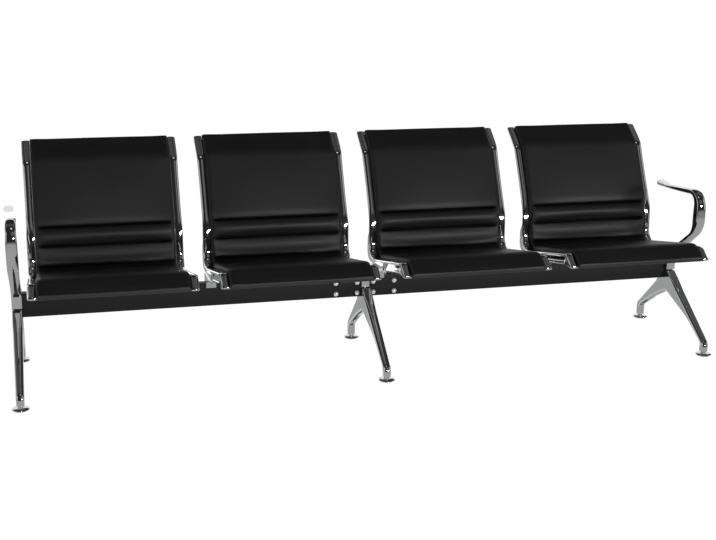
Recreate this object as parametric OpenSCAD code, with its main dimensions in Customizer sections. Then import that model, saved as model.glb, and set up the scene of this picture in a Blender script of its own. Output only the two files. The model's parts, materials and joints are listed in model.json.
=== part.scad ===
// Beam seating: four padded seats in a row on one spliced steel beam, with three
// forked legs, two looped armrests and six levelling feet. Millimetres.
// X runs along the beam, Y to the rear, Z up. The origin is on the floor, in the
// middle of the bench's plan. Side outlines are drawn as [y, z, corner radius]
// with y measured from the beam's centre line.

/* [Row] */
// Seat width over its side rails
seat_w = 520; // [480:1:560]
// Gap between the two seats of a pair
pair_gap = 66; // [40:1:100]
// Gap between the two pairs, over the centre leg
middle_gap = 74; // [50:1:120]
// Gap between the outer seat and the armrest
arm_gap = 23; // [18:1:40]

/* [Beam] */
// Beam height
beam_h = 80; // [70:1:90]
// Beam depth
beam_d = 40; // [36:1:46]
// Beam wall thickness
beam_wall = 2; // [1.5:0.1:3]
// Height of the beam's underside above the floor
beam_z = 213; // [205:1:225]
// Length of the sleeve inside the splice
splice_len = 270; // [250:1:320]
// Wall of the splice sleeve
splice_wall = 3; // [2:0.1:4]
// Thickness of a beam end cap
cap_t = 3; // [2:0.5:5]
// Length of the cap's plug inside the beam
plug_len = 15; // [10:1:20]
// Wall of the cap's plug
plug_wall = 2.5; // [2:0.5:4]

/* [Seat outline] */
// Top of the back above the floor
seat_top_z = 753; // [740:1:770]
// Top of the back behind the beam's centre line
seat_top_y = 257; // [245:1:270]
// Lean of the top flare from upright
flare_angle = 52.4; // [45:0.1:58]
// Length of the top flare
flare_len = 93; // [75:1:110]
// Lean of the back from upright
back_angle = 26; // [22:0.5:30]
// Height of the upright part above the seat corner
lumbar_h = 136; // [120:1:150]
// Rise of the seat towards the front
seat_angle = 11.5; // [8:0.5:14]
// Length of the seat from its rear corner to the crest
seat_run = 396; // [380:1:410]
// Slope of the front nose below level
nose_angle = 37; // [30:1:45]
// Length of the front nose
nose_len = 60; // [50:1:70]
// Bend radius between flare and back
flare_r = 25; // [15:1:40]
// Bend radius between back and upright part
lumbar_r = 290; // [100:5:350]
// Bend radius at the seat corner
corner_r = 50; // [25:1:60]
// Bend radius at the front crest
crest_r = 22; // [15:1:30]

/* [Seat parts] */
// Width of a side rail
rail_w = 27; // [24:1:32]
// Thickness of a side rail on the back
rail_t = 9; // [8:0.5:12]
// Wall of the pressed side rail
rail_wall = 2.5; // [1.5:0.1:3]
// Depth of the rail's web beside the seat
web_h = 37; // [32:1:42]
// Height of the rail's flat underside above the beam
web_gap = 29; // [25:1:34]
// Height of the seat's rear corner above the rail's flat underside
corner_rise = 6.5; // [4:0.5:10]
// Front end of the rail's deep part, ahead of the beam's centre line
web_step_y = 140; // [110:1:170]
// Depth of the rail's heel behind the face of the upright part
heel_t = 24; // [12:1:30]
// Height of the heel above the seat's rear corner
heel_h = 68; // [50:1:80]
// Height over which the heel fades into the back
heel_fade = 25; // [15:1:40]
// Radius of the heel's lower end
heel_r = 60; // [40:1:70]
// Radius of the rail's rear edge behind the lumbar bend
back_r = 60; // [40:5:120]
// Sheet thickness of the seat shell
shell_t = 1.5; // [1:0.1:2]
// Depth of the shell's front face behind the rail's face
shell_set = 2; // [1.5:0.1:3]
// Height of the pad above the rail's face
pad_rise = 13; // [8:1:16]
// Length by which the pad passes the nose's lower edge
pad_lap = 6; // [2:1:10]
// Radius of the pad's end edges
pad_r = 6; // [4:0.5:6.5]

/* [Brackets] */
// Width of a seat bracket
bracket_w = 34; // [30:1:38]
// Sheet thickness of a seat bracket
bracket_t = 4; // [3:0.5:5]
// Length of the bracket's top plate ahead of the beam's centre line
bracket_len = 90; // [70:1:105]
// Depth of the bracket's lip over the beam's edge
bracket_lip = 15; // [13:1:18]

/* [Legs] */
// Width of a leg at the beam
leg_w = 34; // [30:1:38]
// Diameter of a leg's lower end
leg_end_d = 26; // [24:1:30]
// Height of a leg's upright lower end
ankle_h = 24; // [20:1:30]
// Front foot ahead of the beam's centre line
foot_front = 308; // [290:1:325]
// Rear foot behind the beam's centre line
foot_rear = 173; // [160:1:190]
// Height of a leg's lower end above the floor
leg_end_z = 16; // [14:1:20]
// Depth of the leg below the beam at the fork
fork_h = 47; // [40:1:55]
// Reach of the fork's front arm before it bends down
front_run = 170; // [150:1:185]
// Fall of the fork's front arm over that reach
front_fall = 60; // [50:1:70]
// Fall of the fork's rear arm where it bends down
rear_fall = 48; // [40:1:56]
// Bend radius of the fork's arms and of the armrest's top bar
sweep_r = 200; // [150:10:250]
// Thickness of the leg's lip in front of the beam
lip_front = 18; // [14:1:20]
// Thickness of the leg's lip behind the beam
lip_rear = 14; // [10:1:16]
// Height of the leg's lips up the beam
lip_h = 34; // [30:1:36]
// Seam between a leg and the clamp above it
seam = 2; // [1:0.5:3]
// Thickness of the centre clamp
strap_t = 5; // [4:0.5:7]
// Width of the centre clamp
strap_w = 28; // [26:1:32]

/* [Armrests] */
// Width of an armrest
arm_w = 34; // [30:1:38]
// Height of the armrest's level rear part
arm_z = 561; // [545:1:580]
// Rise of the armrest towards the front
arm_rise = 17; // [10:1:25]
// Lift of the armrest's rear end
arm_lift = 6; // [2:1:10]
// Length of the armrest's curled rear end
arm_curl = 70; // [55:1:85]
// Height of the loop's front bulge below the level rear part
arm_bulge = 127; // [110:1:140]
// Thickness of the armrest's top bar
arm_t = 16; // [14:1:20]
// Thickness of the armrest's front loop
arm_loop_t = 34; // [28:1:38]
// Front of the armrest ahead of the beam's centre line
arm_front = 222; // [205:1:240]
// Rear end of the armrest behind the beam's centre line
arm_rear = 108; // [95:1:125]
// Thickness of the armrest's root on top of the beam
arm_root_t = 18; // [14:1:22]

/* [Levelling feet] */
// Diameter of the foot disc
disc_d = 57; // [50:1:64]
// Height of the foot disc's top above the floor
disc_h = 11; // [9:0.5:12]
// Height of the disc's edge
disc_edge = 7; // [5:0.5:8]
// Diameter of the plastic glide
glide_d = 50; // [44:1:52]
// Height of the glide
glide_h = 4; // [3:0.5:5]
// Running clearance around the glide, in which the disc turns
glide_gap = 0.1; // [0.05:0.05:0.5]
// Diameter of the levelling stud
stud_d = 10; // [8:1:12]
// Diameter of the stud's collar
collar_d = 18; // [16:1:20]
// Length of the stud above the leg's lower end
stud_len = 20; // [18:1:22]
// Outer diameter of the threaded insert
insert_d = 16; // [15:0.5:18]
// Radial clearance of the stud in its insert and disc
stud_clear = 0.05; // [0.02:0.01:0.1]

/* [Fasteners] */
// Shank diameter of the splice bolts
bolt_d = 8; // [6:1:10]
// Head diameter of the splice bolts
bolt_head = 17; // [14:1:18]
// Distance of the inner splice bolts from the middle of the row
bolt_inner = 29; // [25:1:45]
// Distance of the outer splice bolts from the middle of the row
bolt_outer = 106; // [90:1:112]
// Distance of the upper splice bolts from the beam's top
bolt_top = 27; // [20:1:32]
// Distance of the lower splice bolts from the beam's underside
bolt_low = 15; // [13:1:20]
// Thickness of a splice washer
washer_t = 1.6; // [1:0.1:2.5]
// Thickness of a splice nut
nut_t = 6.5; // [5:0.5:8]
// Height of a splice bolt's domed head
dome_h = 5; // [4:0.5:6]
// Shank diameter of the clamp and bracket bolts
clamp_bolt_d = 6; // [5:0.5:8]
// Distance of the clamp bolts from the leg's middle
clamp_bolt_x = 9; // [8:0.5:10]
// Shank diameter of the shell screws
screw_d = 2.5; // [2:0.1:3]
// Height of a shell screw's head
screw_head_h = 1.8; // [1.2:0.1:2.5]

/* [Hidden] */
$fn = 48;
eps = 0.01;
big = 3000;

sides = [-1, 1];
leg_names = ["left", "centre", "right"];
foot_names = ["front", "rear"];
seat_ids = [1, 2, 3, 4];
foot_ids = [for (a = foot_names, b = leg_names) str(a, "_", b)];

NODES = concat(
    ["beam_left", "beam_right", "beam_splice", "beam_cap_left", "beam_cap_right"],
    ["splice_bolts", "splice_washers", "splice_nuts"],
    [for (n = leg_names) str("leg_", n)],
    ["centre_clamp", "armrest_left", "armrest_right", "leg_bolts", "clamp_bolts"],
    ["leg_inserts"],
    [for (n = foot_ids) str("foot_disc_", n)],
    [for (n = foot_ids) str("foot_glide_", n)],
    [for (n = foot_ids) str("foot_stud_", n)],
    [for (i = seat_ids) str("seat_shell_", i)],
    [for (i = seat_ids) str("seat_pad_", i)],
    [for (i = seat_ids) str("seat_rail_left_", i)],
    [for (i = seat_ids) str("seat_rail_right_", i)],
    [for (i = seat_ids) str("seat_brackets_", i)],
    ["bracket_bolts", "shell_screws"]
);
node = "all";

// ---- outline helpers ------------------------------------------------------

function unit(v) = v / norm(v);
function yz(p) = [p[0], p[1]];
function sgn_turn(u, v) = sign(u[0] * v[1] - u[1] * v[0]);

// Points of the arc that rounds corner b, between a and c, with radius r
function corner(a, b, c, r, n = 7) =
    r <= 0 ? [b] :
    let (
        u = unit(a - b),
        v = unit(c - b),
        half = acos(max(-1, min(1, u * v))) / 2
    )
    half > 89.5 ? [b] :
    let (
        t = min(r / tan(half), 0.49 * min(norm(a - b), norm(c - b))),
        rr = t * tan(half),
        o = b + unit(u + v) * rr / sin(half),
        from = b + u * t - o,
        a0 = atan2(from[1], from[0]),
        sweep = sgn_turn(b - a, c - b) * (180 - 2 * half)
    )
    [for (i = [0:n]) o + rr * [cos(a0 + sweep * i / n), sin(a0 + sweep * i / n)]];

// Closed outline of [y, z, r] corners with each corner rounded
function rounded(p) =
    let (n = len(p))
    [for (i = [0:n - 1], q = corner(yz(p[(i + n - 1) % n]), yz(p[i]), yz(p[(i + 1) % n]), p[i][2])) q];

// Open path of [y, z, r] corners moved sideways by d, to the left of its direction
function moved(p, d) =
    let (n = len(p), dir = [for (i = [0:n - 2]) unit(yz(p[i + 1]) - yz(p[i]))])
    [for (i = [0:n - 1])
        let (
            u = dir[max(0, i - 1)],
            v = dir[min(n - 2, i)],
            nu = [-u[1], u[0]],
            nv = [-v[1], v[0]],
            m = unit(nu + nv),
            q = yz(p[i]) + m * d / (m * nu)
        )
        [q[0], q[1], p[i][2] > 0 ? max(0.5, p[i][2] - sgn_turn(u, v) * d) : 0]];

// The path with its first and last stretch shortened
function trimmed(p, first, last) =
    let (
        n = len(p),
        a = yz(p[0]) + first * unit(yz(p[1]) - yz(p[0])),
        b = yz(p[n - 1]) + last * unit(yz(p[n - 2]) - yz(p[n - 1]))
    )
    [for (i = [0:n - 1]) i == 0 ? [a[0], a[1], p[0][2]] : i == n - 1 ? [b[0], b[1], p[i][2]] : p[i]];

function reversed(p) = [for (i = [len(p) - 1:-1:0]) p[i]];
function with_ends(p, r) = [for (i = [0:len(p) - 1]) i == 0 || i == len(p) - 1 ? [p[i][0], p[i][1], r] : p[i]];

// Closed band between two distances from a path, with its end corners rounded
function band(p, d1, d2, r1 = 0, r2 = 0) =
    rounded(concat(with_ends(moved(p, d1), r1), reversed(with_ends(moved(p, d2), r2))));

// Extrudes a [y, z] outline along X from x0 over a width w
module side_slab(pts, x0, w)
    translate([x0, 0, 0])
        rotate([90, 0, 90])
            linear_extrude(height = w)
                polygon(pts);

// Cylinder along Y from y0 over a length l
module y_rod(x, y0, z, d, l, fn = 0)
    translate([x, y0 + l, z])
        rotate([90, 0, 0])
            cylinder(d = d, h = l, $fn = fn > 0 ? fn : $fn);

// ---- seat outline ---------------------------------------------------------

beam_top = beam_z + beam_h;
half_d = beam_d / 2;
seat_top = [seat_top_y, seat_top_z];
flare_foot = seat_top - flare_len * [sin(flare_angle), cos(flare_angle)];
// The back runs down to the upright part, which ends at the seat's rear corner
seat_corner_z = beam_top + web_gap + corner_rise;
lumbar_top_z = seat_corner_z + lumbar_h;
lumbar_y = flare_foot[0] - (flare_foot[1] - lumbar_top_z) * tan(back_angle);
crest = [lumbar_y - seat_run * cos(seat_angle), seat_corner_z + seat_run * sin(seat_angle)];
nose_end = crest + nose_len * [-cos(nose_angle), -sin(nose_angle)];

// Face line of the side rails, from the top of the back to the front nose
face = [
    [seat_top[0], seat_top[1], 3],
    [flare_foot[0], flare_foot[1], flare_r],
    [lumbar_y, lumbar_top_z, lumbar_r],
    [lumbar_y, seat_corner_z, corner_r],
    [crest[0], crest[1], crest_r],
    [nose_end[0], nose_end[1], 3]
];
shell_path = trimmed(face, 8, 10);

pad_outline = band(trimmed(face, pad_rise, -pad_lap), -pad_rise, shell_set, pad_r);

rail_back = moved(face, rail_t);
web_low = moved(face, web_h);
web_flat_z = beam_top + web_gap;
heel_z = seat_corner_z + heel_h;

rail_outline = rounded(concat(face, [
    [web_low[4][0], web_low[4][1], 8],
    [-web_step_y - 6, web_low[3][1] + (web_low[3][0] + web_step_y + 6) * tan(seat_angle), 4],
    [-web_step_y, web_flat_z, 4],
    [lumbar_y + heel_t, web_flat_z, heel_r],
    [lumbar_y + heel_t, heel_z, heel_fade],
    [lumbar_y + rail_t, heel_z + heel_fade, heel_fade],
    [rail_back[2][0], rail_back[2][1], back_r],
    rail_back[1], rail_back[0]
]));

// The bench's plan is centred between its rearmost rail and its foremost pad
mid_y = (max([for (p = rail_outline) p[0]]) + min([for (p = pad_outline) p[0]])) / 2;

module placed() translate([0, -mid_y, 0]) children();

// ---- places along the row -------------------------------------------------

inner_seat_x = (middle_gap + seat_w) / 2;
outer_seat_x = inner_seat_x + seat_w + pair_gap;
seat_x = [-outer_seat_x, -inner_seat_x, inner_seat_x, outer_seat_x];
leg_pitch = outer_seat_x + seat_w / 2 + arm_gap + arm_w / 2;
leg_x = [-leg_pitch, 0, leg_pitch];
bench_half = leg_pitch + arm_w / 2;
rail_edges = [for (s = sides) s * (seat_w / 2 - rail_w / 2)];
bracket_x = [for (x = seat_x, e = rail_edges) x + e];
foot_y = [-foot_front, foot_rear];
splice_bolt_x = [for (s = sides, x = [bolt_inner, bolt_outer]) s * x];
splice_bolt_z = [beam_z + bolt_low, beam_top - bolt_top];
clamp_x = [for (x = leg_x, s = sides) x + s * clamp_bolt_x];
leg_bolt_z = beam_z + lip_h * 0.55;
clamp_bottom = beam_z + lip_h + seam;
clamp_bolt_z = (clamp_bottom + beam_top) / 2;
bracket_bolt_z = beam_top - bracket_lip / 2;

// ---- beam -----------------------------------------------------------------

module beam_holes() {
    for (x = splice_bolt_x, z = splice_bolt_z)
        y_rod(x, -beam_d, z, bolt_d + 0.6, 2 * beam_d);
    for (x = clamp_x, z = [leg_bolt_z, clamp_bolt_z])
        y_rod(x, -beam_d, z, clamp_bolt_d + 0.6, 2 * beam_d);
    for (x = bracket_x)
        y_rod(x, 0, bracket_bolt_z, clamp_bolt_d, beam_d);
}

module beam_half(s) {
    len = bench_half - cap_t;
    placed() difference() {
        translate([s < 0 ? -len : 0, -half_d, beam_z])
            cube([len, beam_d, beam_h]);
        translate([s < 0 ? -len - 1 : -1, -half_d + beam_wall, beam_z + beam_wall])
            cube([len + 2, beam_d - 2 * beam_wall, beam_h - 2 * beam_wall]);
        beam_holes();
    }
}

module beam_splice() {
    outer_d = beam_d - 2 * beam_wall;
    outer_h = beam_h - 2 * beam_wall;
    placed() difference() {
        translate([-splice_len / 2, -outer_d / 2, beam_z + beam_wall])
            cube([splice_len, outer_d, outer_h]);
        translate([-splice_len / 2 - 1, -outer_d / 2 + splice_wall, beam_z + beam_wall + splice_wall])
            cube([splice_len + 2, outer_d - 2 * splice_wall, outer_h - 2 * splice_wall]);
        beam_holes();
    }
}

// End cap: a plate with a hollow plug that clears the clamp bolts
module beam_cap(s) {
    in = beam_wall + plug_wall;
    placed() difference() {
        mirror([s < 0 ? 1 : 0, 0, 0]) difference() {
            union() {
                translate([bench_half - cap_t, -half_d, beam_z])
                    cube([cap_t, beam_d, beam_h]);
                translate([bench_half - cap_t - plug_len, -half_d + beam_wall, beam_z + beam_wall])
                    cube([plug_len + eps, beam_d - 2 * beam_wall, beam_h - 2 * beam_wall]);
            }
            translate([bench_half - cap_t - plug_len - 1, -half_d + in, beam_z + in])
                cube([plug_len + 1, beam_d - 2 * in, beam_h - 2 * in]);
        }
        beam_holes();
    }
}

// ---- splice fasteners -----------------------------------------------------

module dome_head(x, y, z, d, h) {
    dome_r = (d * d / 4 + h * h) / (2 * h);
    translate([x, y, z]) rotate([90, 0, 0]) intersection() {
        cylinder(d = d, h = h);
        translate([0, 0, h - dome_r]) sphere(r = dome_r);
    }
}

module splice_bolts() {
    tail = half_d + washer_t + nut_t + 2;
    placed() for (x = splice_bolt_x, z = splice_bolt_z) {
        y_rod(x, -half_d - eps, z, bolt_d, half_d + tail + eps);
        dome_head(x, -half_d, z, bolt_head, dome_h);
    }
}

module splice_washers() {
    placed() for (x = splice_bolt_x, z = splice_bolt_z) difference() {
        y_rod(x, half_d, z, bolt_head, washer_t);
        y_rod(x, half_d - 1, z, bolt_d, washer_t + 2);
    }
}

module splice_nuts() {
    placed() for (x = splice_bolt_x, z = splice_bolt_z) difference() {
        y_rod(x, half_d + washer_t, z, bolt_d * 1.8, nut_t, 6);
        y_rod(x, half_d, z, bolt_d, nut_t + 5);
    }
}

// ---- legs -----------------------------------------------------------------

end_r = leg_end_d / 2;
leg_front_y = -foot_front - end_r;
leg_rear_y = foot_rear + end_r;
bend_z = leg_end_z + ankle_h;
// The flat leg is set this deep into its round lower end
sleeve_z = bend_z - 14;
insert_h = stud_len + 2;

// Forked outline of a leg, with its notch for the beam
leg_outline = rounded([
    [-half_d, beam_z, 0],
    [half_d, beam_z, 0],
    [half_d, beam_z + lip_h, 0],
    [half_d + lip_rear, beam_z + lip_h, 5],
    [half_d + lip_rear, beam_z - lip_rear, 30],
    [leg_rear_y, bend_z + 22, 35],
    [leg_rear_y, sleeve_z, 0],
    [foot_rear - end_r, sleeve_z, 0],
    [foot_rear - end_r, bend_z + end_r, 20],
    [2 * beam_d - half_d, beam_z - fork_h - rear_fall, sweep_r],
    [-half_d - end_r, beam_z - fork_h, 20],
    [-half_d - front_run, beam_z - fork_h - front_fall, sweep_r],
    [end_r - foot_front, bend_z + 2, 25],
    [end_r - foot_front, sleeve_z, 0],
    [leg_front_y, sleeve_z, 0],
    [leg_front_y, bend_z + 7, 35],
    [-half_d - lip_front, beam_z + lip_h - 1, 8],
    [-half_d, beam_z + lip_h, 0]
]);

module leg(x) {
    placed() translate([x, 0, 0]) difference() {
        union() {
            intersection() {
                side_slab(leg_outline, -leg_w / 2, leg_w);
                rotate([90, 0, 0]) linear_extrude(height = big, center = true) polygon([
                    [-end_r, 0], [end_r, 0], [end_r, bend_z],
                    [leg_w / 2, beam_z], [leg_w / 2, beam_top],
                    [-leg_w / 2, beam_top], [-leg_w / 2, beam_z], [-end_r, bend_z]
                ]);
            }
            for (y = foot_y)
                translate([0, y, leg_end_z])
                    cylinder(d = leg_end_d, h = bend_z - leg_end_z - 4);
        }
        for (y = foot_y)
            translate([0, y, leg_end_z - 1])
                cylinder(d = insert_d, h = insert_h + 2);
        for (s = sides)
            y_rod(s * clamp_bolt_x, -half_d - lip_front + 5, leg_bolt_z, clamp_bolt_d, big);
    }
}

module leg_inserts() {
    placed() for (x = leg_x, y = foot_y) translate([x, y, leg_end_z]) difference() {
        cylinder(d = insert_d, h = insert_h);
        translate([0, 0, -1]) cylinder(d = stud_d + 2 * stud_clear, h = insert_h + 2);
    }
}

// ---- clamps and armrests --------------------------------------------------

module clamp_bores(x, front)
    for (s = sides)
        y_rod(x + s * clamp_bolt_x, front, clamp_bolt_z, clamp_bolt_d, big);

module centre_clamp() {
    outline = rounded([
        [-half_d, clamp_bottom, 0],
        [-half_d, beam_top, 0],
        [half_d, beam_top, 0],
        [half_d, clamp_bottom, 0],
        [half_d + strap_t, clamp_bottom, 0],
        [half_d + strap_t, beam_top + strap_t, 6],
        [-half_d - strap_t, beam_top + strap_t, 6],
        [-half_d - strap_t, clamp_bottom, 0]
    ]);
    placed() difference() {
        side_slab(outline, -strap_w / 2, strap_w);
        clamp_bores(0, -half_d - strap_t + 1);
    }
}

// Loop outline of an armrest, with its saddle over the beam
arm_outline = rounded([
    [-half_d, clamp_bottom, 0],
    [-half_d, beam_top, 0],
    [half_d, beam_top, 0],
    [half_d, clamp_bottom, 0],
    [half_d + lip_rear, clamp_bottom, 0],
    [half_d + lip_rear, beam_top + arm_root_t, 10],
    [-half_d / 2, beam_top + arm_root_t, 20],
    [-arm_front + arm_loop_t, arm_z - arm_bulge - 2, 45],
    [-arm_front + arm_loop_t, arm_z - 1, 30],
    [-half_d - 45, arm_z - arm_t + 6, 150],
    [arm_rear - arm_curl, arm_z - arm_t, sweep_r],
    [arm_rear, arm_z - arm_t + arm_lift, 7],
    [arm_rear, arm_z + arm_lift, 7],
    [arm_rear - arm_curl, arm_z, sweep_r],
    [-arm_front, arm_z + arm_rise * 1.4, 62],
    [-arm_front, arm_z - arm_bulge + 2, 60],
    [-half_d - lip_front, beam_top - 1, 20],
    [-half_d - lip_front, clamp_bottom, 0]
]);

module armrest(x) {
    placed() difference() {
        side_slab(arm_outline, x - arm_w / 2, arm_w);
        clamp_bores(x, -half_d - lip_front + 5);
    }
}

module dome_bolt(x, y_tip, y_head, z) {
    y_rod(x, y_tip, z, clamp_bolt_d, y_head - y_tip + eps);
    mirror([0, 1, 0]) dome_head(x, -y_head, z, clamp_bolt_d * 1.8, 3.5);
}

module leg_bolts() {
    placed() for (x = clamp_x)
        dome_bolt(x, -half_d - lip_front + 5.5, half_d + lip_rear, leg_bolt_z);
}

module clamp_bolts() {
    placed() {
        for (x = leg_x, s = sides) {
            end = x != 0;
            dome_bolt(x + s * clamp_bolt_x,
                end ? -half_d - lip_front + 5.5 : -half_d - strap_t + 1.5,
                end ? half_d + lip_rear : half_d + strap_t,
                clamp_bolt_z);
        }
    }
}

// ---- levelling feet -------------------------------------------------------

socket_z = glide_h + 1;

module foot_disc(x, y) {
    placed() translate([x, y, 0]) rotate_extrude() polygon([
        [stud_d / 2 + stud_clear, glide_h],
        [glide_d / 2 + glide_gap, glide_h],
        [glide_d / 2 + glide_gap, 1.5],
        [disc_d / 2 - 1, 1.5],
        [disc_d / 2, 2.5],
        [disc_d / 2, disc_edge - 1],
        [disc_d / 2 - 1, disc_edge],
        [disc_d * 0.3, disc_h - 1],
        [collar_d / 2 + 1, disc_h],
        [stud_d / 2 + stud_clear, disc_h]
    ]);
}

module foot_glide(x, y) {
    placed() translate([x, y, 0]) rotate_extrude() polygon([
        [0, 0], [glide_d / 2 - 1, 0], [glide_d / 2, 1], [glide_d / 2, glide_h], [0, glide_h]
    ]);
}

module foot_stud(x, y) {
    placed() translate([x, y, 0]) {
        translate([0, 0, socket_z])
            cylinder(d = stud_d, h = leg_end_z + stud_len - socket_z);
        translate([0, 0, disc_h])
            cylinder(d = collar_d, h = leg_end_z - disc_h);
    }
}

// ---- seats ----------------------------------------------------------------

// Screws between shell and rail: on the back, above the lumbar bend and on the seat
screw_d_in = shell_set + shell_t + 3;
screw_path = moved(face, screw_d_in);
screw_at = [
    (screw_path[1] * 0.8 + screw_path[2] * 0.2),
    (screw_path[1] * 0.3 + screw_path[2] * 0.7),
    (screw_path[3] * 0.7 + screw_path[4] * 0.3),
    (screw_path[3] * 0.2 + screw_path[4] * 0.8)
];

module shell_screw_rods(i, d, reach) {
    for (s = sides, p = screw_at)
        translate([seat_x[i - 1] + s * (seat_w / 2 - rail_w - reach), p[0], p[1]])
            rotate([0, s * 90, 0])
                cylinder(d = d, h = reach + rail_wall + 2);
}

module seat_rail(i, s) {
    x0 = seat_x[i - 1] + s * seat_w / 2 - (s > 0 ? rail_w : 0);
    inner = trimmed(face, 6, 6);
    placed() difference() {
        side_slab(rail_outline, x0, rail_w);
        side_slab(rounded(concat(moved(inner, rail_wall), reversed(moved(inner, web_h + 20)))),
            x0 + rail_wall, rail_w - 2 * rail_wall);
        shell_screw_rods(i, screw_d, shell_t);
    }
}

module seat_shell(i) {
    x0 = seat_x[i - 1] - seat_w / 2 + rail_w;
    w = seat_w - 2 * rail_w;
    placed() difference() {
        union() {
            side_slab(band(shell_path, shell_set, shell_set + shell_t), x0, w);
            for (x = [x0, x0 + w - shell_t])
                side_slab(band(shell_path, shell_set, rail_t), x, shell_t);
        }
        shell_screw_rods(i, screw_d, shell_t + 1);
    }
}

module seat_pad(i) {
    x0 = seat_x[i - 1] - seat_w / 2 + rail_w;
    placed() side_slab(pad_outline, x0, seat_w - 2 * rail_w);
}

module shell_screws() {
    placed() for (i = seat_ids, s = sides, p = screw_at)
        translate([seat_x[i - 1] + s * (seat_w / 2 - rail_w - shell_t), p[0], p[1]])
            rotate([0, s * 90, 0]) {
                translate([0, 0, -screw_head_h / 2])
                    cylinder(d = screw_d, h = screw_head_h / 2 + shell_t + rail_wall + 1.5);
                translate([0, 0, -screw_head_h]) cylinder(d = 2 * screw_d, h = screw_head_h);
            }
}

// ---- seat brackets --------------------------------------------------------

bracket_outline = rounded([
    [-half_d, beam_top - bracket_lip, 0],
    [-half_d, beam_top, 0],
    [half_d, beam_top, 0],
    [half_d, beam_top - bracket_lip, 0],
    [half_d + bracket_t, beam_top - bracket_lip, 0],
    [half_d + bracket_t, web_flat_z, 6],
    [-bracket_len, web_flat_z, 0],
    [-bracket_len, web_flat_z - bracket_t, 0],
    [-half_d - bracket_t, beam_top + bracket_t, 8],
    [-half_d - bracket_t, beam_top - bracket_lip, 0]
]);
bracket_hollow = [
    [-half_d, beam_top + bracket_t],
    [half_d + bracket_t + 5, beam_top + bracket_t],
    [half_d + bracket_t + 5, web_flat_z - bracket_t],
    [-half_d - bracket_len * 0.3, web_flat_z - bracket_t]
];

module seat_brackets(i) {
    placed() for (e = rail_edges) translate([seat_x[i - 1] + e, 0, 0]) difference() {
        side_slab(bracket_outline, -bracket_w / 2, bracket_w);
        side_slab(bracket_hollow, -bracket_w / 2 + bracket_t, bracket_w - 2 * bracket_t);
        y_rod(0, half_d - 1, bracket_bolt_z, clamp_bolt_d, bracket_t + 10);
    }
}

module bracket_bolts() {
    placed() for (x = bracket_x) {
        y_rod(x, half_d - beam_wall - 6, bracket_bolt_z, clamp_bolt_d, beam_wall + 6 + bracket_t + eps);
        y_rod(x, half_d + bracket_t, bracket_bolt_z, clamp_bolt_d * 1.8, 4, 6);
    }
}

// ---- nodes ----------------------------------------------------------------

chrome = "gainsboro";
black = [0.1, 0.1, 0.11];
leather = [0.14, 0.14, 0.15];

function shown(n) = node == "all" || node == n;

if (shown("beam_left")) color(black) beam_half(-1);
if (shown("beam_right")) color(black) beam_half(1);
if (shown("beam_splice")) color("dimgray") beam_splice();
if (shown("beam_cap_left")) color(black) beam_cap(-1);
if (shown("beam_cap_right")) color(black) beam_cap(1);
if (shown("splice_bolts")) color("silver") splice_bolts();
if (shown("splice_washers")) color("silver") splice_washers();
if (shown("splice_nuts")) color("silver") splice_nuts();
for (k = [0:2])
    if (shown(str("leg_", leg_names[k]))) color(chrome) leg(leg_x[k]);
if (shown("centre_clamp")) color(chrome) centre_clamp();
if (shown("armrest_left")) color(chrome) armrest(-leg_pitch);
if (shown("armrest_right")) color(chrome) armrest(leg_pitch);
if (shown("leg_bolts")) color("silver") leg_bolts();
if (shown("clamp_bolts")) color("silver") clamp_bolts();
if (shown("leg_inserts")) color("silver") leg_inserts();
for (f = [0:1], k = [0:2]) {
    id = str(foot_names[f], "_", leg_names[k]);
    if (shown(str("foot_disc_", id))) color(chrome) foot_disc(leg_x[k], foot_y[f]);
    if (shown(str("foot_glide_", id))) color(black) foot_glide(leg_x[k], foot_y[f]);
    if (shown(str("foot_stud_", id))) color("silver") foot_stud(leg_x[k], foot_y[f]);
}
for (i = seat_ids) {
    if (shown(str("seat_shell_", i))) color(black) seat_shell(i);
    if (shown(str("seat_pad_", i))) color(leather) seat_pad(i);
    if (shown(str("seat_rail_left_", i))) color(chrome) seat_rail(i, -1);
    if (shown(str("seat_rail_right_", i))) color(chrome) seat_rail(i, 1);
    if (shown(str("seat_brackets_", i))) color(chrome) seat_brackets(i);
}
if (shown("bracket_bolts")) color("silver") bracket_bolts();
if (shown("shell_screws")) color("silver") shell_screws();
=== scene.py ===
"""Beam seating: the looks of a four-seat bench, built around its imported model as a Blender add-on."""

import json
import math

import bmesh
import bpy
import numpy as np
from mathutils import Matrix, Vector
from mathutils.geometry import delaunay_2d_cdt

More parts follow.
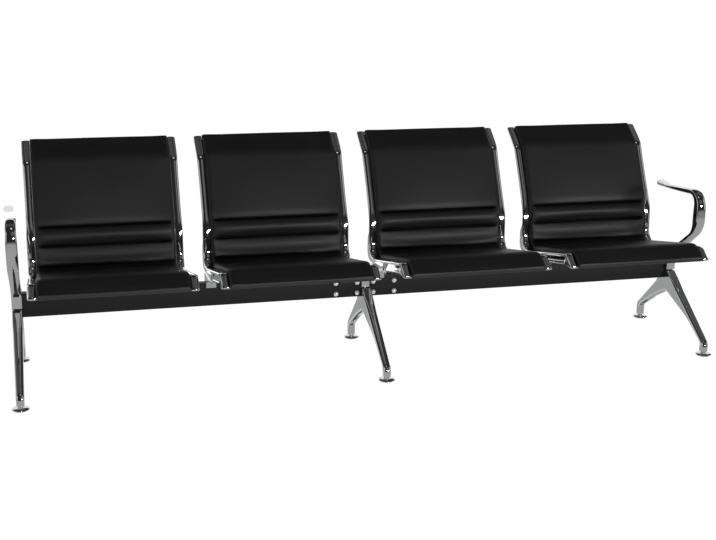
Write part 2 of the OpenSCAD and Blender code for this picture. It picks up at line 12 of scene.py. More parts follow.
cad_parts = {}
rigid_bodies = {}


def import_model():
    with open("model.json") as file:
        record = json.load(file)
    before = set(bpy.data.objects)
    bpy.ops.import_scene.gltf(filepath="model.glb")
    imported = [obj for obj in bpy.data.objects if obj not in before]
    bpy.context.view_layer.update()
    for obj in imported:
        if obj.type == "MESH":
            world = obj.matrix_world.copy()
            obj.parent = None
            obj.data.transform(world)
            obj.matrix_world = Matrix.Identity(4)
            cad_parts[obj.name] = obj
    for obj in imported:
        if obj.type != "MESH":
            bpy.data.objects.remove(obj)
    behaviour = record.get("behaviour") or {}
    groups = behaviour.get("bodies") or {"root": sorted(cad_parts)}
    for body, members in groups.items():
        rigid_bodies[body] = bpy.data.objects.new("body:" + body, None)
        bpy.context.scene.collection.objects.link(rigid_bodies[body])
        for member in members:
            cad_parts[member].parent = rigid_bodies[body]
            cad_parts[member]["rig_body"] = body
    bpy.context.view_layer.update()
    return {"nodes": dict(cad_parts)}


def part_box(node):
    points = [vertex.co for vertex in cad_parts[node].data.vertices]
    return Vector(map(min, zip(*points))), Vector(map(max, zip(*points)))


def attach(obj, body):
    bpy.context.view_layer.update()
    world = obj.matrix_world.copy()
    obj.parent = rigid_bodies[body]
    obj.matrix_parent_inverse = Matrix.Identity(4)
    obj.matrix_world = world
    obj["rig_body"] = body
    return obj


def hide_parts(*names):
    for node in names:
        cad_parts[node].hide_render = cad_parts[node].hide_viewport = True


bl_info = {
    "name": "Beam seating",
    "version": (1, 0, 0),
    "blender": (4, 5, 0),
    "location": "View3D > Sidebar > Beam seating",
    "description": "Builds a padded four-seat bench on a steel beam around its packed model",
    "category": "Add Mesh",
}

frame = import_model()

MM = 0.001
BODY = "bench"
LEGS = ("left", "centre", "right")
FEET = [f"{end}_{leg}" for end in ("front", "rear") for leg in LEGS]
SEATS = (1, 2, 3, 4)
SIDES = (("left", -1), ("right", 1))


def box(node):
    """Lowest and highest corner of a CAD node, as rows."""
    return np.array(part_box(node))


BEAM_LOW, BEAM_HIGH = box("beam_left")
BEAM_Y = (BEAM_LOW[1] + BEAM_HIGH[1]) / 2
HALF_D = (BEAM_HIGH[1] - BEAM_LOW[1]) / 2
BEAM_Z, BEAM_TOP = BEAM_LOW[2], BEAM_HIGH[2]
LEG_LOW = box("leg_centre")[0, 2]


# ---- sizes and colours ----


def length(label, text, default):
    """A length in metres that the sidebar shows with its unit."""
    return bpy.props.FloatProperty(name=label, description=text, default=default, unit="LENGTH")


def angle(label, text, default):
    """An angle, given in degrees and kept in radians."""
    radians = math.radians(default)
    return bpy.props.FloatProperty(name=label, description=text, default=radians, unit="ROTATION")


def colour(label, text, default):
    """A colour written as sRGB hex."""
    return bpy.props.StringProperty(name=label, description=text, default=default)


class BenchSeatOutline(bpy.types.PropertyGroup):
    """Side outline of a seat, measured from the beam's centre line and the floor."""

    top_y: length("Top, rearwards", "Top of the back behind the beam's centre line", 0.257)
    top_z: length("Top height", "Top of the back above the floor", 0.753)
    flare_angle: angle("Flare lean", "Lean of the top flare from upright", 52.4)
    flare_len: length("Flare length", "Length of the top flare", 0.093)
    back_angle: angle("Back lean", "Lean of the back from upright", 26)
    lumbar_h: length("Upright part", "Height of the upright part above the seat corner", 0.136)
    corner_z: length("Seat corner", "Height of the seat's rear corner above the beam", 0.0355)
    seat_angle: angle("Seat rise", "Rise of the seat towards the front", 11.5)
    seat_run: length("Seat run", "Length of the seat from its rear corner to the crest", 0.396)
    nose_angle: angle("Nose slope", "Slope of the front nose below level", 37)
    nose_len: length("Nose length", "Length of the front nose", 0.060)
    rail_t: length("Rail depth", "Depth of a side rail on the back", 0.009)
    web_h: length("Web depth", "Depth of the rail's web beside the seat", 0.037)
    web_gap: length("Web gap", "Height of the rail's flat underside above the beam", 0.029)
    web_step: length("Web step", "Front end of the rail's deep part ahead of the beam", 0.140)
    flare_r: length("Flare radius", "Radius of the bend below the flared top", 0.060)
    heel_t: length("Heel depth", "Depth of the rail's heel behind the upright part", 0.024)
    heel_h: length("Heel height", "Height of the heel above the seat corner", 0.068)


class BenchPad(bpy.types.PropertyGroup):
    """Padded leather cover of a seat."""

    rise: length("Rise", "Height of the padding above the rails' face", 0.0145)
    seat_crown: length("Seat crown", "Further rise in the middle of the seat", 0.006)
    back_crown: length("Back crown", "Further rise in the middle of the back", 0.003)
    top_gap: length("Top gap", "Distance of the pad's top end from the top of the face line", -0.003)
    border_r: length("Border", "Radius of the rounded border", 0.016)
    set_back: length("Set back", "Depth of the shell's face behind the rails' face", 0.002)
    lap: length("Lap", "Length by which the pad passes the nose", 0.006)
    groove_1: length("First groove", "Height of the upper sewn groove above the floor", 0.490)
    groove_2: length("Second groove", "Height of the middle sewn groove above the floor", 0.430)
    groove_3: length("Third groove", "Height of the lower sewn groove above the floor", 0.357)
    groove_depth: length("Groove depth", "Depth of a sewn groove", 0.011)
    groove_w: length("Groove shoulder", "Length over which the seat falls to the lower groove", 0.034)
    panel_bulge: length("Panel bulge", "Swell of the upper panel between the flare and the grooves", 0.009)
    lip_w: length("Groove lip", "Length over which the upper panel falls to the first groove", 0.022)
    puff: length("Puff", "Swell of the rolls between the grooves", 0.003)
    cap: length("Swell limit", "Furthest that a point moves while the pad is inflated", 0.005)


class BenchColours(bpy.types.PropertyGroup):
    """Colours of the finishes."""

    leather: colour("Leather", "Polyurethane leather", "#18181A")
    chrome: colour("Chrome", "Bright chrome plate", "#F0F1F2")
    beam: colour("Beam", "Powder-coated beam", "#101012")
    zinc: colour("Zinc", "Bright zinc plate", "#DCDDDE")
    plastic: colour("Plastic", "Moulded polypropylene", "#141415")
    shell: colour("Shell", "Powder-coated perforated sheet", "#161617")
    floor: colour("Floor", "Studio floor", "#FFFFFF")


def outline():
    return bpy.context.scene.bench_outline


def pad_sizes():
    return bpy.context.scene.bench_pad


# ---- paths and meshes ----

# Half the angle between two sides above which their corner counts as straight
STRAIGHT = math.radians(89.5)
# Largest share of a side that one corner's arc takes up
ARC_SHARE = 0.49
# Samples in which a point is looked for on a path
FINE = 4000
# Smallest factor of a mitre, and smallest slope at which a side leads inwards
MITRE_LOW, SLOPE_LOW = 0.4, 0.2
# Distance by which a slab's last layer lies inside the one before
RIM = 0.0003


def unit(vectors):
    """The vectors, one a row, at length 1."""
    return vectors / np.linalg.norm(vectors, axis=-1, keepdims=True)


def fillet(corners, closed=False, steps=14):
    """Polyline through [y, z, radius] corners, with each corner replaced by a tangent arc.

    The arc's centre lies on the corner's bisector at r / sin(half the angle between the sides), and the
    arc turns by pi less that angle.
    """
    points = []
    count = len(corners)
    for i, (y, z, r) in enumerate(corners):
        b = np.array([y, z])
        if r <= 0 or (not closed and i in (0, count - 1)):
            points.append(b[None])
            continue
        a = np.array(corners[i - 1][:2])
        c = np.array(corners[(i + 1) % count][:2])
        u, v = unit(a - b), unit(c - b)
        half = math.acos(np.clip(u @ v, -1, 1)) / 2
        if half > STRAIGHT:
            points.append(b[None])
            continue
        reach = min(r / math.tan(half), *(ARC_SHARE * np.linalg.norm(end - b) for end in (a, c)))
        r = reach * math.tan(half)
        centre = b + unit(u + v) * r / math.sin(half)
        start = b + u * reach - centre
        turn = np.sign(u[1] * v[0] - u[0] * v[1]) * (math.pi - 2 * half)
        phi = math.atan2(start[1], start[0]) + turn * np.linspace(0, 1, steps)
        points.append(centre + r * np.stack([np.cos(phi), np.sin(phi)], 1))
    return np.concatenate(points)


def run_length(points):
    """Distance along a polyline, at each of its points."""
    return np.concatenate([[0], np.cumsum(np.linalg.norm(np.diff(points, axis=0), axis=1))])


def at(points, s):
    """Points of a polyline at distances s, extended straight past both ends."""
    run = run_length(points)
    inside = np.stack([np.interp(s, run, points[:, k]) for k in (0, 1)], -1)
    first, last = unit(points[0] - points[1]), unit(points[-1] - points[-2])
    s = np.asarray(s)[..., None]
    return inside + np.maximum(-s, 0) * first + np.maximum(s - run[-1], 0) * last


def front_normal(points, s, reach):
    """Unit normals of a path that runs down and forwards, on its front side, from points 2 * reach apart."""
    t = unit(at(points, s + reach) - at(points, s - reach))
    return np.stack([t[..., 1], -t[..., 0]], -1)


def nearest(points, target):
    """Distance along a polyline of its point nearest to a target."""
    s = np.linspace(0, run_length(points)[-1], FINE)
    return s[np.argmin(np.linalg.norm(at(points, s) - target, axis=1))]


def split_long(points, longest):
    """The closed polyline with extra points on sides longer than a limit."""
    parts = []
    for a, b in zip(points, np.roll(points, -1, axis=0)):
        n = max(1, math.ceil(np.linalg.norm(b - a) / longest))
        parts.append(a + (b - a) * (np.arange(n) / n)[:, None])
    return np.concatenate(parts)


def grid_faces(rows, columns, wrap_rows=False, wrap_columns=False, start=0):
    """Quads of a grid whose vertices run column by column within each row."""
    i = np.arange(rows if wrap_rows else rows - 1)
    j = np.arange(columns if wrap_columns else columns - 1)
    i, j = (v.ravel() for v in np.meshgrid(i, j, indexing="ij"))
    i2, j2 = (i + 1) % rows, (j + 1) % columns
    return start + np.stack([i * columns + j, i * columns + j2, i2 * columns + j2, i2 * columns + j], 1)


def signed_area(points):
    """Twice the area inside a closed outline, positive where it runs anticlockwise."""
    ahead = np.roll(points, -1, axis=0)
    return np.sum(points[:, 0] * ahead[:, 1] - ahead[:, 0] * points[:, 1])


def signed_volume(vertices, quads):
    """Volume inside a closed mesh of quads, negative where its faces point inwards."""
    a, b, c, d = (vertices[quads[:, k]] for k in range(4))
    return (np.einsum("ij,ij->i", a, np.cross(b, c)) + np.einsum("ij,ij->i", a, np.cross(c, d))).sum() / 6


def link(name, data):
    """Adds an object that shows a mesh, a light or a camera."""
    obj = bpy.data.objects.new(name, data)
    bpy.context.scene.collection.objects.link(obj)
    return obj


def dress(obj, finish, body=BODY, replaces=()):
    """Gives a piece its finish, lets it ride on a body and hides the nodes that it stands for."""
    obj.data.materials.append(material(finish))
    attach(obj, body)
    if replaces:
        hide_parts(*replaces)
    return obj


def piece(name, vertices, quads, finish, body=BODY, replaces=(), caps=(), smooth=50):
    """Makes a piece from points, quads and end faces; edges above smooth degrees stay sharp."""
    vertices = np.asarray(vertices, float).reshape(-1, 3)
    faces = [*quads.tolist(), *(list(c) for c in caps)]
    if signed_volume(vertices, quads) < 0:
        faces = [f[::-1] for f in faces]
    mesh = bpy.data.meshes.new(name)
    mesh.from_pydata(vertices.tolist(), [], faces)
    mesh.validate()
    mesh.shade_smooth()
    mesh.set_sharp_from_angle(angle=math.radians(smooth))
    return dress(link(name, mesh), finish, body, replaces)


def slid(side, inward):
    """Vectors along the sides that lead one unit inwards from the sides beside them."""
    slope = np.sum(side * inward, 1)
    return side / np.where(np.abs(slope) < SLOPE_LOW, 1, slope)[:, None]


def rounded_slab(points, x, half_w, edge_r, flat, steps, crown=None):
    """Slab between two copies of a closed outline, with quarter-round edges.

    Layer k lies at x = w - c + c sin(phi) and is the outline moved inwards by r (1 - cos(phi)). Half
    width w, edge radius r and crown c are one value a point, and sides marked flat aren't moved.
    """
    count = len(points)
    side = unit(np.roll(points, -1, axis=0) - points)
    ahead = np.sign(signed_area(points)) * np.stack([-side[:, 1], side[:, 0]], 1)
    before = np.roll(ahead, 1, axis=0)
    moving = np.ones(count, bool)
    moving[flat] = False
    was = np.roll(moving, 1)
    mitre = (before + ahead) / np.maximum(MITRE_LOW, 1 + np.sum(before * ahead, 1))[:, None]
    shift = np.where((was & moving)[:, None], mitre, 0)
    shift = np.where((was & ~moving)[:, None], slid(side, before), shift)
    shift = np.where((~was & moving)[:, None], slid(-np.roll(side, 1, axis=0), ahead), shift)
    half_w, edge_r = np.broadcast_to(half_w, count), np.broadcast_to(edge_r, count)
    crown = edge_r if crown is None else np.broadcast_to(crown, count)
    phi = np.linspace(0, math.pi / 2, steps)[:, None]
    out = np.vstack([half_w - crown + crown * np.sin(phi), half_w])
    inset = np.vstack([edge_r * (1 - np.cos(phi)), edge_r + RIM])
    out, inset = np.vstack([-out[::-1], out]), np.vstack([inset[::-1], inset])
    plane = points[None] + inset[..., None] * shift[None]
    vertices = np.concatenate([(np.broadcast_to(x, count) + out)[..., None], plane], 2)
    quads = grid_faces(len(out), count, wrap_columns=True)
    return vertices.reshape(-1, 3), quads, end_caps(plane[0], plane[-1], (len(out) - 1) * count)


def filled(plane, start):
    """Triangles inside a closed outline of plane points whose vertices are numbered from start."""
    result = delaunay_2d_cdt([Vector(p) for p in plane.tolist()], [], [list(range(len(plane)))], 1, 1e-9)
    origin = [start + min(o) for o in result[3]]
    return [[origin[i] for i in face] for face in result[2]]


def end_caps(first, last, start):
    """Faces that close a tube's first ring, and its last one, whose vertices are numbered from start."""
    low, high = filled(first, 0), filled(last, start)
    if signed_area(first) > 0:
        return [f[::-1] for f in low] + high
    return low + [f[::-1] for f in high]


def lathe(profile, steps=48):
    """Surface of a closed (radius, height) profile turned about Z: x = r cos(t), y = r sin(t)."""
    t = np.linspace(0, 2 * math.pi, steps, endpoint=False)
    r, h = np.asarray(profile, float).T
    heights = np.broadcast_to(h, (steps, len(h)))
    vertices = np.stack([np.outer(np.cos(t), r), np.outer(np.sin(t), r), heights], 2)
    return vertices.reshape(-1, 3), grid_faces(steps, len(h), wrap_rows=True, wrap_columns=True)


def copies(vertices, quads, centres):
    """The same mesh repeated with its origin at each centre."""
    centres = np.asarray(centres, float)
    every = (vertices[None] + centres[:, None]).reshape(-1, 3)
    steps = np.arange(len(centres))[:, None, None] * len(vertices)
    return every, (quads[None] + steps).reshape(-1, quads.shape[1])


# ---- materials ----


def linear(hex_colour, factor=1.0):
    """sRGB hex to a linear RGBA colour, made lighter or darker by a factor."""
    c = np.array([int(hex_colour[i : i + 2], 16) for i in (1, 3, 5)]) / 255
    c = np.where(c <= 0.04045, c / 12.92, ((c + 0.055) / 1.055) ** 2.4)
    return (*(factor * c).tolist(), 1.0)


def fill(tree, node, inputs):
    """Gives each input of a node a value or another node's output."""
    for name, value in inputs.items():
        if isinstance(value, bpy.types.NodeSocket):
            tree.links.new(value, node.inputs[name])
        else:
            node.inputs[name].default_value = value


def add(tree, kind, inputs=None, **settings):
    """Adds a node with its inputs and settings."""
    made = tree.nodes.new(kind)
    for key, value in settings.items():
        setattr(made, key, value)
    fill(tree, made, inputs or {})
    return made


def maths(tree, operation, *values):
    """Result of an arithmetic node."""
    return add(tree, "ShaderNodeMath", dict(enumerate(values)), operation=operation).outputs[0]


def spread(tree, source, low, high, start=0.0, end=1.0, kind="LINEAR"):
    """A value between start and end, stretched between two limits."""
    limits = {"Value": source, "From Min": start, "From Max": end, "To Min": low, "To Max": high}
    return add(tree, "ShaderNodeMapRange", limits, interpolation_type=kind).outputs["Result"]


def noise(tree, place, size, detail):
    """Noise with features of a size in millimetres."""
    inputs = {"Vector": place, "Scale": 1 / (size * MM), "Detail": detail}
    return add(tree, "ShaderNodeTexNoise", inputs).outputs["Fac"]


def bumped(tree, height, strength, depth):
    """Normal of a surface that a height moves by up to a depth in millimetres."""
    inputs = {"Height": height, "Strength": strength, "Distance": depth * MM}
    return add(tree, "ShaderNodeBump", inputs).outputs["Normal"]


def new_material(name):
    """An empty material with its node tree, its object coordinates and its shader."""
    made = bpy.data.materials.new(name)
    made.use_nodes = True
    tree = made.node_tree
    tree.nodes.clear()
    place = add(tree, "ShaderNodeTexCoord").outputs["Object"]
    shader = add(tree, "ShaderNodeBsdfPrincipled")
    add(tree, "ShaderNodeOutputMaterial", {"Surface": shader.outputs["BSDF"]})
    return made, tree, place, shader


def leather_material(colours):
    """Polyurethane leather: a pressed pebble grain of about 1.6 mm, drawn twice as coarse as real so that
    it shows, with fine pores under a semi-gloss film. The sewn grooves carry painted shade: their colour
    and specular are darkened for the shade in the creases, and their higher roughness dulls the gloss."""
    made, tree, place, shader = new_material("polyurethane_leather")
    pebbles = {"Vector": place, "Scale": 1 / (1.6 * MM), "Smoothness": 0.6}
    grain = add(tree, "ShaderNodeTexVoronoi", pebbles, feature="SMOOTH_F1").outputs["Distance"]
    height = maths(tree, "ADD", grain, maths(tree, "MULTIPLY", noise(tree, place, 0.5, 3.0), 0.25))
    drift = noise(tree, place, 60, 4.0)
    # Painted shade: near a groove the colour and the specular fall to a tenth, for the shade in its crease
    hollow = add(tree, "ShaderNodeAttribute", attribute_name="hollow").outputs["Fac"]
    groove_shade_scale = spread(tree, hollow, 1.0, 0.1)
    # The Mix node has an input A and B for each data type; 6 and 7 are the colour ones
    shades = {0: drift, 6: linear(colours.leather, 0.8), 7: linear(colours.leather, 1.25)}
    tint = add(tree, "ShaderNodeMix", shades, data_type="RGBA").outputs[2]
    shaded = add(tree, "ShaderNodeVectorMath", {0: tint, "Scale": groove_shade_scale}, operation="SCALE").outputs[0]
    fill(tree, shader, {
        "Base Color": shaded,
        "Roughness": maths(tree, "ADD", spread(tree, drift, 0.48, 0.58), spread(tree, hollow, 0.0, 0.3)),
        "Specular IOR Level": maths(tree, "MULTIPLY", groove_shade_scale, 0.5),
        "IOR": 1.5,
        "Coat Weight": 0.05,
        "Coat Roughness": 0.3,
        "Normal": bumped(tree, height, 0.22, 0.25),
    })
    return made


def thread_material(colours):
    """Bonded polyester sewing thread: twisted filaments, shown as fine slanted lines."""
    made, tree, place, shader = new_material("polyester_thread")
    slanted = {"Vector": place, "Scale": 1 / (4 * MM)}
    twist = add(tree, "ShaderNodeTexWave", slanted, bands_direction="DIAGONAL").outputs["Fac"]
    fill(tree, shader, {
        "Base Color": linear(colours.leather),
        "Roughness": spread(tree, twist, 0.5, 0.7),
        "Normal": bumped(tree, twist, 0.4, 0.1),
    })
    return made


# Colour, then the size and detail of the relief with its strength and depth, the size and detail of the
# clouds that vary the gloss, the limits of the roughness, and what else the shader gets; sizes in mm
PLAIN_FINISHES = {
    # Bright chrome plate on polished steel: a mirror with faint wipe marks over a slight waviness
    "chrome_plate": ("chrome", (22, 1.0), (0.03, 0.5), (35, 5.0), (0.02, 0.07), {"Metallic": 1.0}),
    # Bright zinc plate on steel: a grey metal with a soft, slightly cloudy gloss
    "zinc_plate": ("zinc", (4, 4.0), (0.08, 0.2), (4, 4.0), (0.32, 0.48), {"Metallic": 0.6}),
    # Moulded polypropylene: a dull black plastic with a fine spark-eroded grain
    "moulded_polypropylene": ("plastic", (0.8, 3.0), (0.3, 0.1), (0.8, 3.0), (0.48, 0.62), {"IOR": 1.49}),
    # Satin polyester powder coat on the beam, with the dimples of an orange peel
    "beam_powder_coat": ("beam", (1.2, 2.0), (0.25, 0.12), (90, 5.0), (0.37, 0.47), {"IOR": 1.33}),
    # Finer and duller powder coat on the shells
    "shell_powder_coat": ("shell", (0.9, 2.0), (0.25, 0.12), (90, 5.0), (0.50, 0.60), {"IOR": 1.5}),
}


def plain_material(name, colours):
    """One of the plain finishes, whose relief and gloss vary with noise."""
    tone, relief, bump, clouds, roughness, more = PLAIN_FINISHES[name]
    made, tree, place, shader = new_material(name)
    fill(tree, shader, {
        "Base Color": linear(getattr(colours, tone)),
        "Roughness": spread(tree, noise(tree, place, *clouds), *roughness),
        "Normal": bumped(tree, noise(tree, place, *relief), *bump),
        **more,
    })
    return made


def material(name):
    """The finish with that name, made once."""
    made = bpy.data.materials.get(name)
    colours = bpy.context.scene.bench_colours
    if made:
        return made
    if name in PLAIN_FINISHES:
        return plain_material(name, colours)
    return {"polyurethane_leather": leather_material, "polyester_thread": thread_material}[name](colours)


# ---- seat outline ----

LUMBAR_R, CORNER_R, CREST_R = 0.290, 0.050, 0.035


def seat_corners():
    """Corners [y, z, radius] of the rails' face line, from the top of the back to the front nose."""
    o = outline()
    top = np.array([BEAM_Y + o.top_y, o.top_z])
    foot = top - o.flare_len * np.array([math.sin(o.flare_angle), math.cos(o.flare_angle)])
    corner_z = BEAM_TOP + o.corner_z
    lumbar_z = corner_z + o.lumbar_h
    lumbar_y = foot[0] - (foot[1] - lumbar_z) * math.tan(o.back_angle)
    crest = [lumbar_y - o.seat_run * math.cos(o.seat_angle), corner_z + o.seat_run * math.sin(o.seat_angle)]
    nose = [crest[0] - o.nose_len * math.cos(o.nose_angle), crest[1] - o.nose_len * math.sin(o.nose_angle)]
    return [
        (*top, 0), (*foot, o.flare_r), (lumbar_y, lumbar_z, LUMBAR_R), (lumbar_y, corner_z, CORNER_R),
        (*crest, CREST_R), (*nose, 0),
    ]


def face_line():
    """The rails' face line with its bends."""
    return fillet(seat_corners())


def moved(corners, distance):
    """The corners moved sideways, towards the rear and underside, with mitred joints."""
    p = np.array([c[:2] for c in corners])
    side = unit(np.diff(p, axis=0))
    normal = np.stack([-side[:, 1], side[:, 0]], 1)
    before, ahead = np.vstack([normal[:1], normal]), np.vstack([normal, normal[-1:]])
    return p + distance * ((before + ahead) / (1 + np.sum(before * ahead, 1))[:, None])


def seat_span(i, gap=0.0):
    """Middle of seat i, half the width that its rails leave less a gap, and both rails' outer edges."""
    left, right = box(f"seat_rail_left_{i}")[:, 0], box(f"seat_rail_right_{i}")[:, 0]
    half_w = (right[1] - left[0]) / 2 - (left[1] - left[0]) - gap
    return (left[0] + right[1]) / 2, half_w, (left[0], right[1])


# ---- side rails ----

# Length of a rail past the face line's top, and depth of its front end
PAST_TOP, TIP_DEPTH = 0.007, 0.007
# Length over which the rear outline steps up ahead of the web's deep part
STEP_RUN = 0.006
# Distance from each end that has closer stations
END_RUN = 0.014
# Sheet of a rail, its turned-in lip, and the fall of its crowned face to the inner and the outer side
RAIL_WALL, RAIL_LIP = 0.0022, 0.0016
FALL_IN, FALL_OUT = 0.0050, 0.0075
# Height of the face over the face line, and the depth that its fall leaves where the rail is shallow
FACE_LIFT, DEPTH_LEFT = 0.0006, 0.0015
# Radii of the rounded ends at the top and at the nose, in side view and in plan
END_DROP, END_PLAN = (0.001, 0.008), (0.0045, 0.006)
# Narrowing along the back, and the share of the length that it takes up
WAIST, WAIST_SHARE = 0.002, 0.55
# Places of the outer wall's points, as shares of its depth
WALL_SHARES = np.array([0.05, 0.09, 0.13, 0.3, 0.5, 0.7, 0.84, 0.88, 0.92])
# Sunk panels of the outer wall: depth at the face, and what each panel loses of it over the wall's depth
PANEL_DEPTH, PANEL_SLANT, SECOND_SLANT = 0.0070, 0.0066, 0.0140
# Margin of the panels lengthwise, ease of their ends, and place of the second one's end ahead of the beam
PANEL_MARGIN, PANEL_EASE, SECOND_END = 0.004, 0.003, 0.020
# Limits of each panel across the wall and ease there, as shares of the wall's depth
PANEL_SPAN, SECOND_SPAN = (0.09, 0.88, 0.04), (0.07, 0.9, 0.03)
# Slot across the wall: place behind the step, distance to the second panel, depth and half its width
SLOT_PLACE, SLOT_GAP, SLOT_DEPTH, SLOT_HALF = 0.016, 0.012, 0.004, 0.008
# How far the face swells on the flare, and what the back and the nose add
SWELL_FLARE, SWELL_BACK, SWELL_NOSE = 0.4, 0.6, 0.9
# Start and run of the change below the flare, and lead and run of the one before the nose
FLARE_FADE, NOSE_LEAD, NOSE_FADE = (0.07, 0.05), 0.01, 0.04
# Width of the lip's first turn, as a share of the lip
LIP_TURN = 0.3
# Distance from a rail's end at which the inner section opens, and run over which it does
OPENING = (0.005, 0.004)


def rail_path():
    """Matching points of the rail's face line and rear outline, with the distance s of each.

    Knots pair each bend of the one with the same bend of the other, and what lies between is spread evenly.
    """
    o = outline()
    corners = seat_corners()
    lean = np.array([math.sin(o.flare_angle), math.cos(o.flare_angle)])
    corners[0] = (*(np.array(corners[0][:2]) + PAST_TOP * lean), 0)
    face = fillet(corners)
    rear, web = moved(corners, o.rail_t), moved(corners, o.web_h)
    flat_z = BEAM_TOP + o.web_gap
    step_y = BEAM_Y - o.web_step
    step_z = web[3][1] + (web[3][0] - step_y + STEP_RUN) * math.tan(o.seat_angle)
    heel_y, heel_z = corners[3][0] + o.heel_t, corners[3][1] + o.heel_h
    tip = np.array(corners[-1][:2]) + TIP_DEPTH * np.array([math.sin(o.nose_angle), -math.cos(o.nose_angle)])
    back = fillet([
        (*rear[0], 0), (*rear[1], 0.034), (*rear[2], 0.060),
        (corners[3][0] + o.rail_t, heel_z + 0.025, 0.025), (heel_y, heel_z, 0.025), (heel_y, flat_z, 0.060),
        (step_y, flat_z, 0.004), (step_y - STEP_RUN, step_z, 0.004), (*web[4], 0.010), (*tip, 0),
    ])
    pairs = [
        (corners[1][:2], rear[1]), (corners[2][:2], rear[2]),
        ((corners[3][0], heel_z + 0.012), (heel_y - 0.007, heel_z + 0.012)),
        (corners[3][:2], (heel_y, flat_z)), ((step_y, step_z + o.web_h), (step_y, flat_z)),
        (corners[4][:2], web[4]),
    ]
    full = run_length(face)[-1]
    knots_face = [0, *(nearest(face, np.array(a)) for a, _ in pairs), full]
    knots_back = [0, *(nearest(back, np.array(b)) for _, b in pairs), run_length(back)[-1]]
    ends = END_RUN * (1 - np.cos(np.linspace(0, math.pi / 2, 9)))
    s = np.concatenate([ends[:-1], np.linspace(END_RUN, full - END_RUN, 250), (full - ends[::-1])[1:]])
    return s, full, at(face, s), at(back, np.interp(s, knots_face, knots_back))


def distance_at(front, s, y):
    """Distance along the face line at which the seat part reaches a depth y."""
    start = int(np.argmin(front[:, 1]))
    return float(np.interp(-y, -front[start:, 0], s[start:]))


def window(value, low, high, soft):
    """1 between two limits and 0 outside, with linear slopes 2 * soft wide."""
    rise = np.clip((value - low + soft) / (2 * soft), 0, 1)
    fall = np.clip((high + soft - value) / (2 * soft), 0, 1)
    return rise * fall


def ramp(value, low, run):
    """0 up to a limit, rising to 1 over a run."""
    return np.clip((value - low) / run, 0, 1)


def quarter(distance, r):
    """Drop of a quarter-round edge of radius r at a distance from its end."""
    u = 1 - np.clip(distance / r, 0, 1)
    return r * (1 - np.sqrt(1 - u * u))


def sunk_wall(s, full, front):
    """How far the outer wall is set back at each station and share of its depth.

    One panel reaches from the step to the crest and slants, deepest near the face. A second, shallower
    one lies behind a slot that crosses the wall.
    """
    o = outline()
    share, s_ = WALL_SHARES[None], s[:, None]
    step_y = BEAM_Y - o.web_step
    from_step = distance_at(front, s, step_y - PANEL_MARGIN)
    slot_s = distance_at(front, s, step_y + SLOT_PLACE)
    along = window(s_, from_step, full - o.nose_len - PANEL_MARGIN, PANEL_EASE)
    behind_slot = window(s_, distance_at(front, s, BEAM_Y - SECOND_END), slot_s - SLOT_GAP, PANEL_EASE)
    across = window(share, *SECOND_SPAN)
    panel = (PANEL_DEPTH - PANEL_SLANT * share) * along * window(share, *PANEL_SPAN)
    second = np.clip(PANEL_DEPTH - SECOND_SLANT * share, 0, 1) * behind_slot * across
    return panel + second + SLOT_DEPTH * np.clip(1 - np.abs(s_ - slot_s) / SLOT_HALF, 0, 1) * across


def rail_mesh(outer_x, width, side):
    """Pressed channel along the face line.

    The section at each station is a C between the face line and the rear outline, in distance a across
    from the outer edge and depth b: an inner wall, a crowned face of two quarter ellipses, an outer wall
    with its sunk panels and a lip, and the same again a wall thickness inside.
    """
    s, full, front, behind = rail_path()
    count = len(s)
    deep = np.linalg.norm(behind - front, axis=1)[:, None]
    inwards = (behind - front) / deep
    # Across the face, v runs from -1 at the inner wall to 1 at the outer one
    v = np.sin(np.linspace(-math.pi / 2, math.pi / 2, 25))
    fall = np.where(v < 0, FALL_IN, FALL_OUT) * (1 - np.sqrt(np.clip(1 - v * v, 0, 1)))
    # The face is flatter on the flare and rounder on the nose
    to_nose = full - outline().nose_len - NOSE_LEAD
    swell = SWELL_FLARE + SWELL_BACK * ramp(s, *FLARE_FADE) + SWELL_NOSE * ramp(s, to_nose, NOSE_FADE)
    swell = swell[:, None]
    b_face = np.minimum(swell * fall, (deep - DEPTH_LEFT) * fall / FALL_OUT) - FACE_LIFT
    b_wall = b_face[:, -1:] + (deep - RAIL_LIP - b_face[:, -1:]) * WALL_SHARES
    turned = RAIL_LIP * LIP_TURN
    a = np.concatenate([
        np.broadcast_to([width - turned, width, *(width / 2 * (1 - v))], (count, 27)),
        sunk_wall(s, full, front), np.broadcast_to([0, turned, RAIL_LIP], (count, 3)),
    ], 1)
    b = np.concatenate([deep, deep - RAIL_LIP, b_face, b_wall, deep - RAIL_LIP, deep - turned, deep], 1)
    # The same section a wall thickness inside, which closes up at both ends
    end = np.minimum(s, full - s)[:, None]
    a2 = np.clip(a, RAIL_WALL, width - RAIL_WALL)
    a2 = np.where(a < width / 2, np.maximum(a2, a + RAIL_WALL), a2)
    b2 = np.minimum(b + RAIL_WALL, deep)
    b2 = b2 + (deep - b2) * (1 - ramp(end, *OPENING))
    # Rounded ends: the front drops back, and the outer corner is rounded in plan
    nose = np.clip((s - full / 2) / full * 20, 0, 1)[:, None]
    drop, plan = (quarter(end, r[0]) * (1 - nose) + quarter(end, r[1]) * nose for r in (END_DROP, END_PLAN))
    b = drop + b * (deep - drop) / deep
    low = plan + WAIST * np.sin(math.pi * np.clip((s / full)[:, None] / WAIST_SHARE, 0, 1)) ** 2
    a_all, b_all = np.concatenate([a, a2[:, ::-1]], 1), np.concatenate([b, b2[:, ::-1]], 1)
    a_all = low + (width - low) * a_all / width
    plane = front[:, None] + b_all[..., None] * inwards[:, None]
    vertices = np.concatenate([(outer_x - side * a_all)[..., None], plane], 2)
    columns = a_all.shape[1]
    last = (count - 1) * columns
    caps = (range(columns)[::-1], range(last, last + columns))
    return vertices.reshape(-1, 3), grid_faces(count, columns, wrap_columns=True), caps


# ---- pads ----

# Gap between a pad and each rail
PAD_GAP = 0.0004
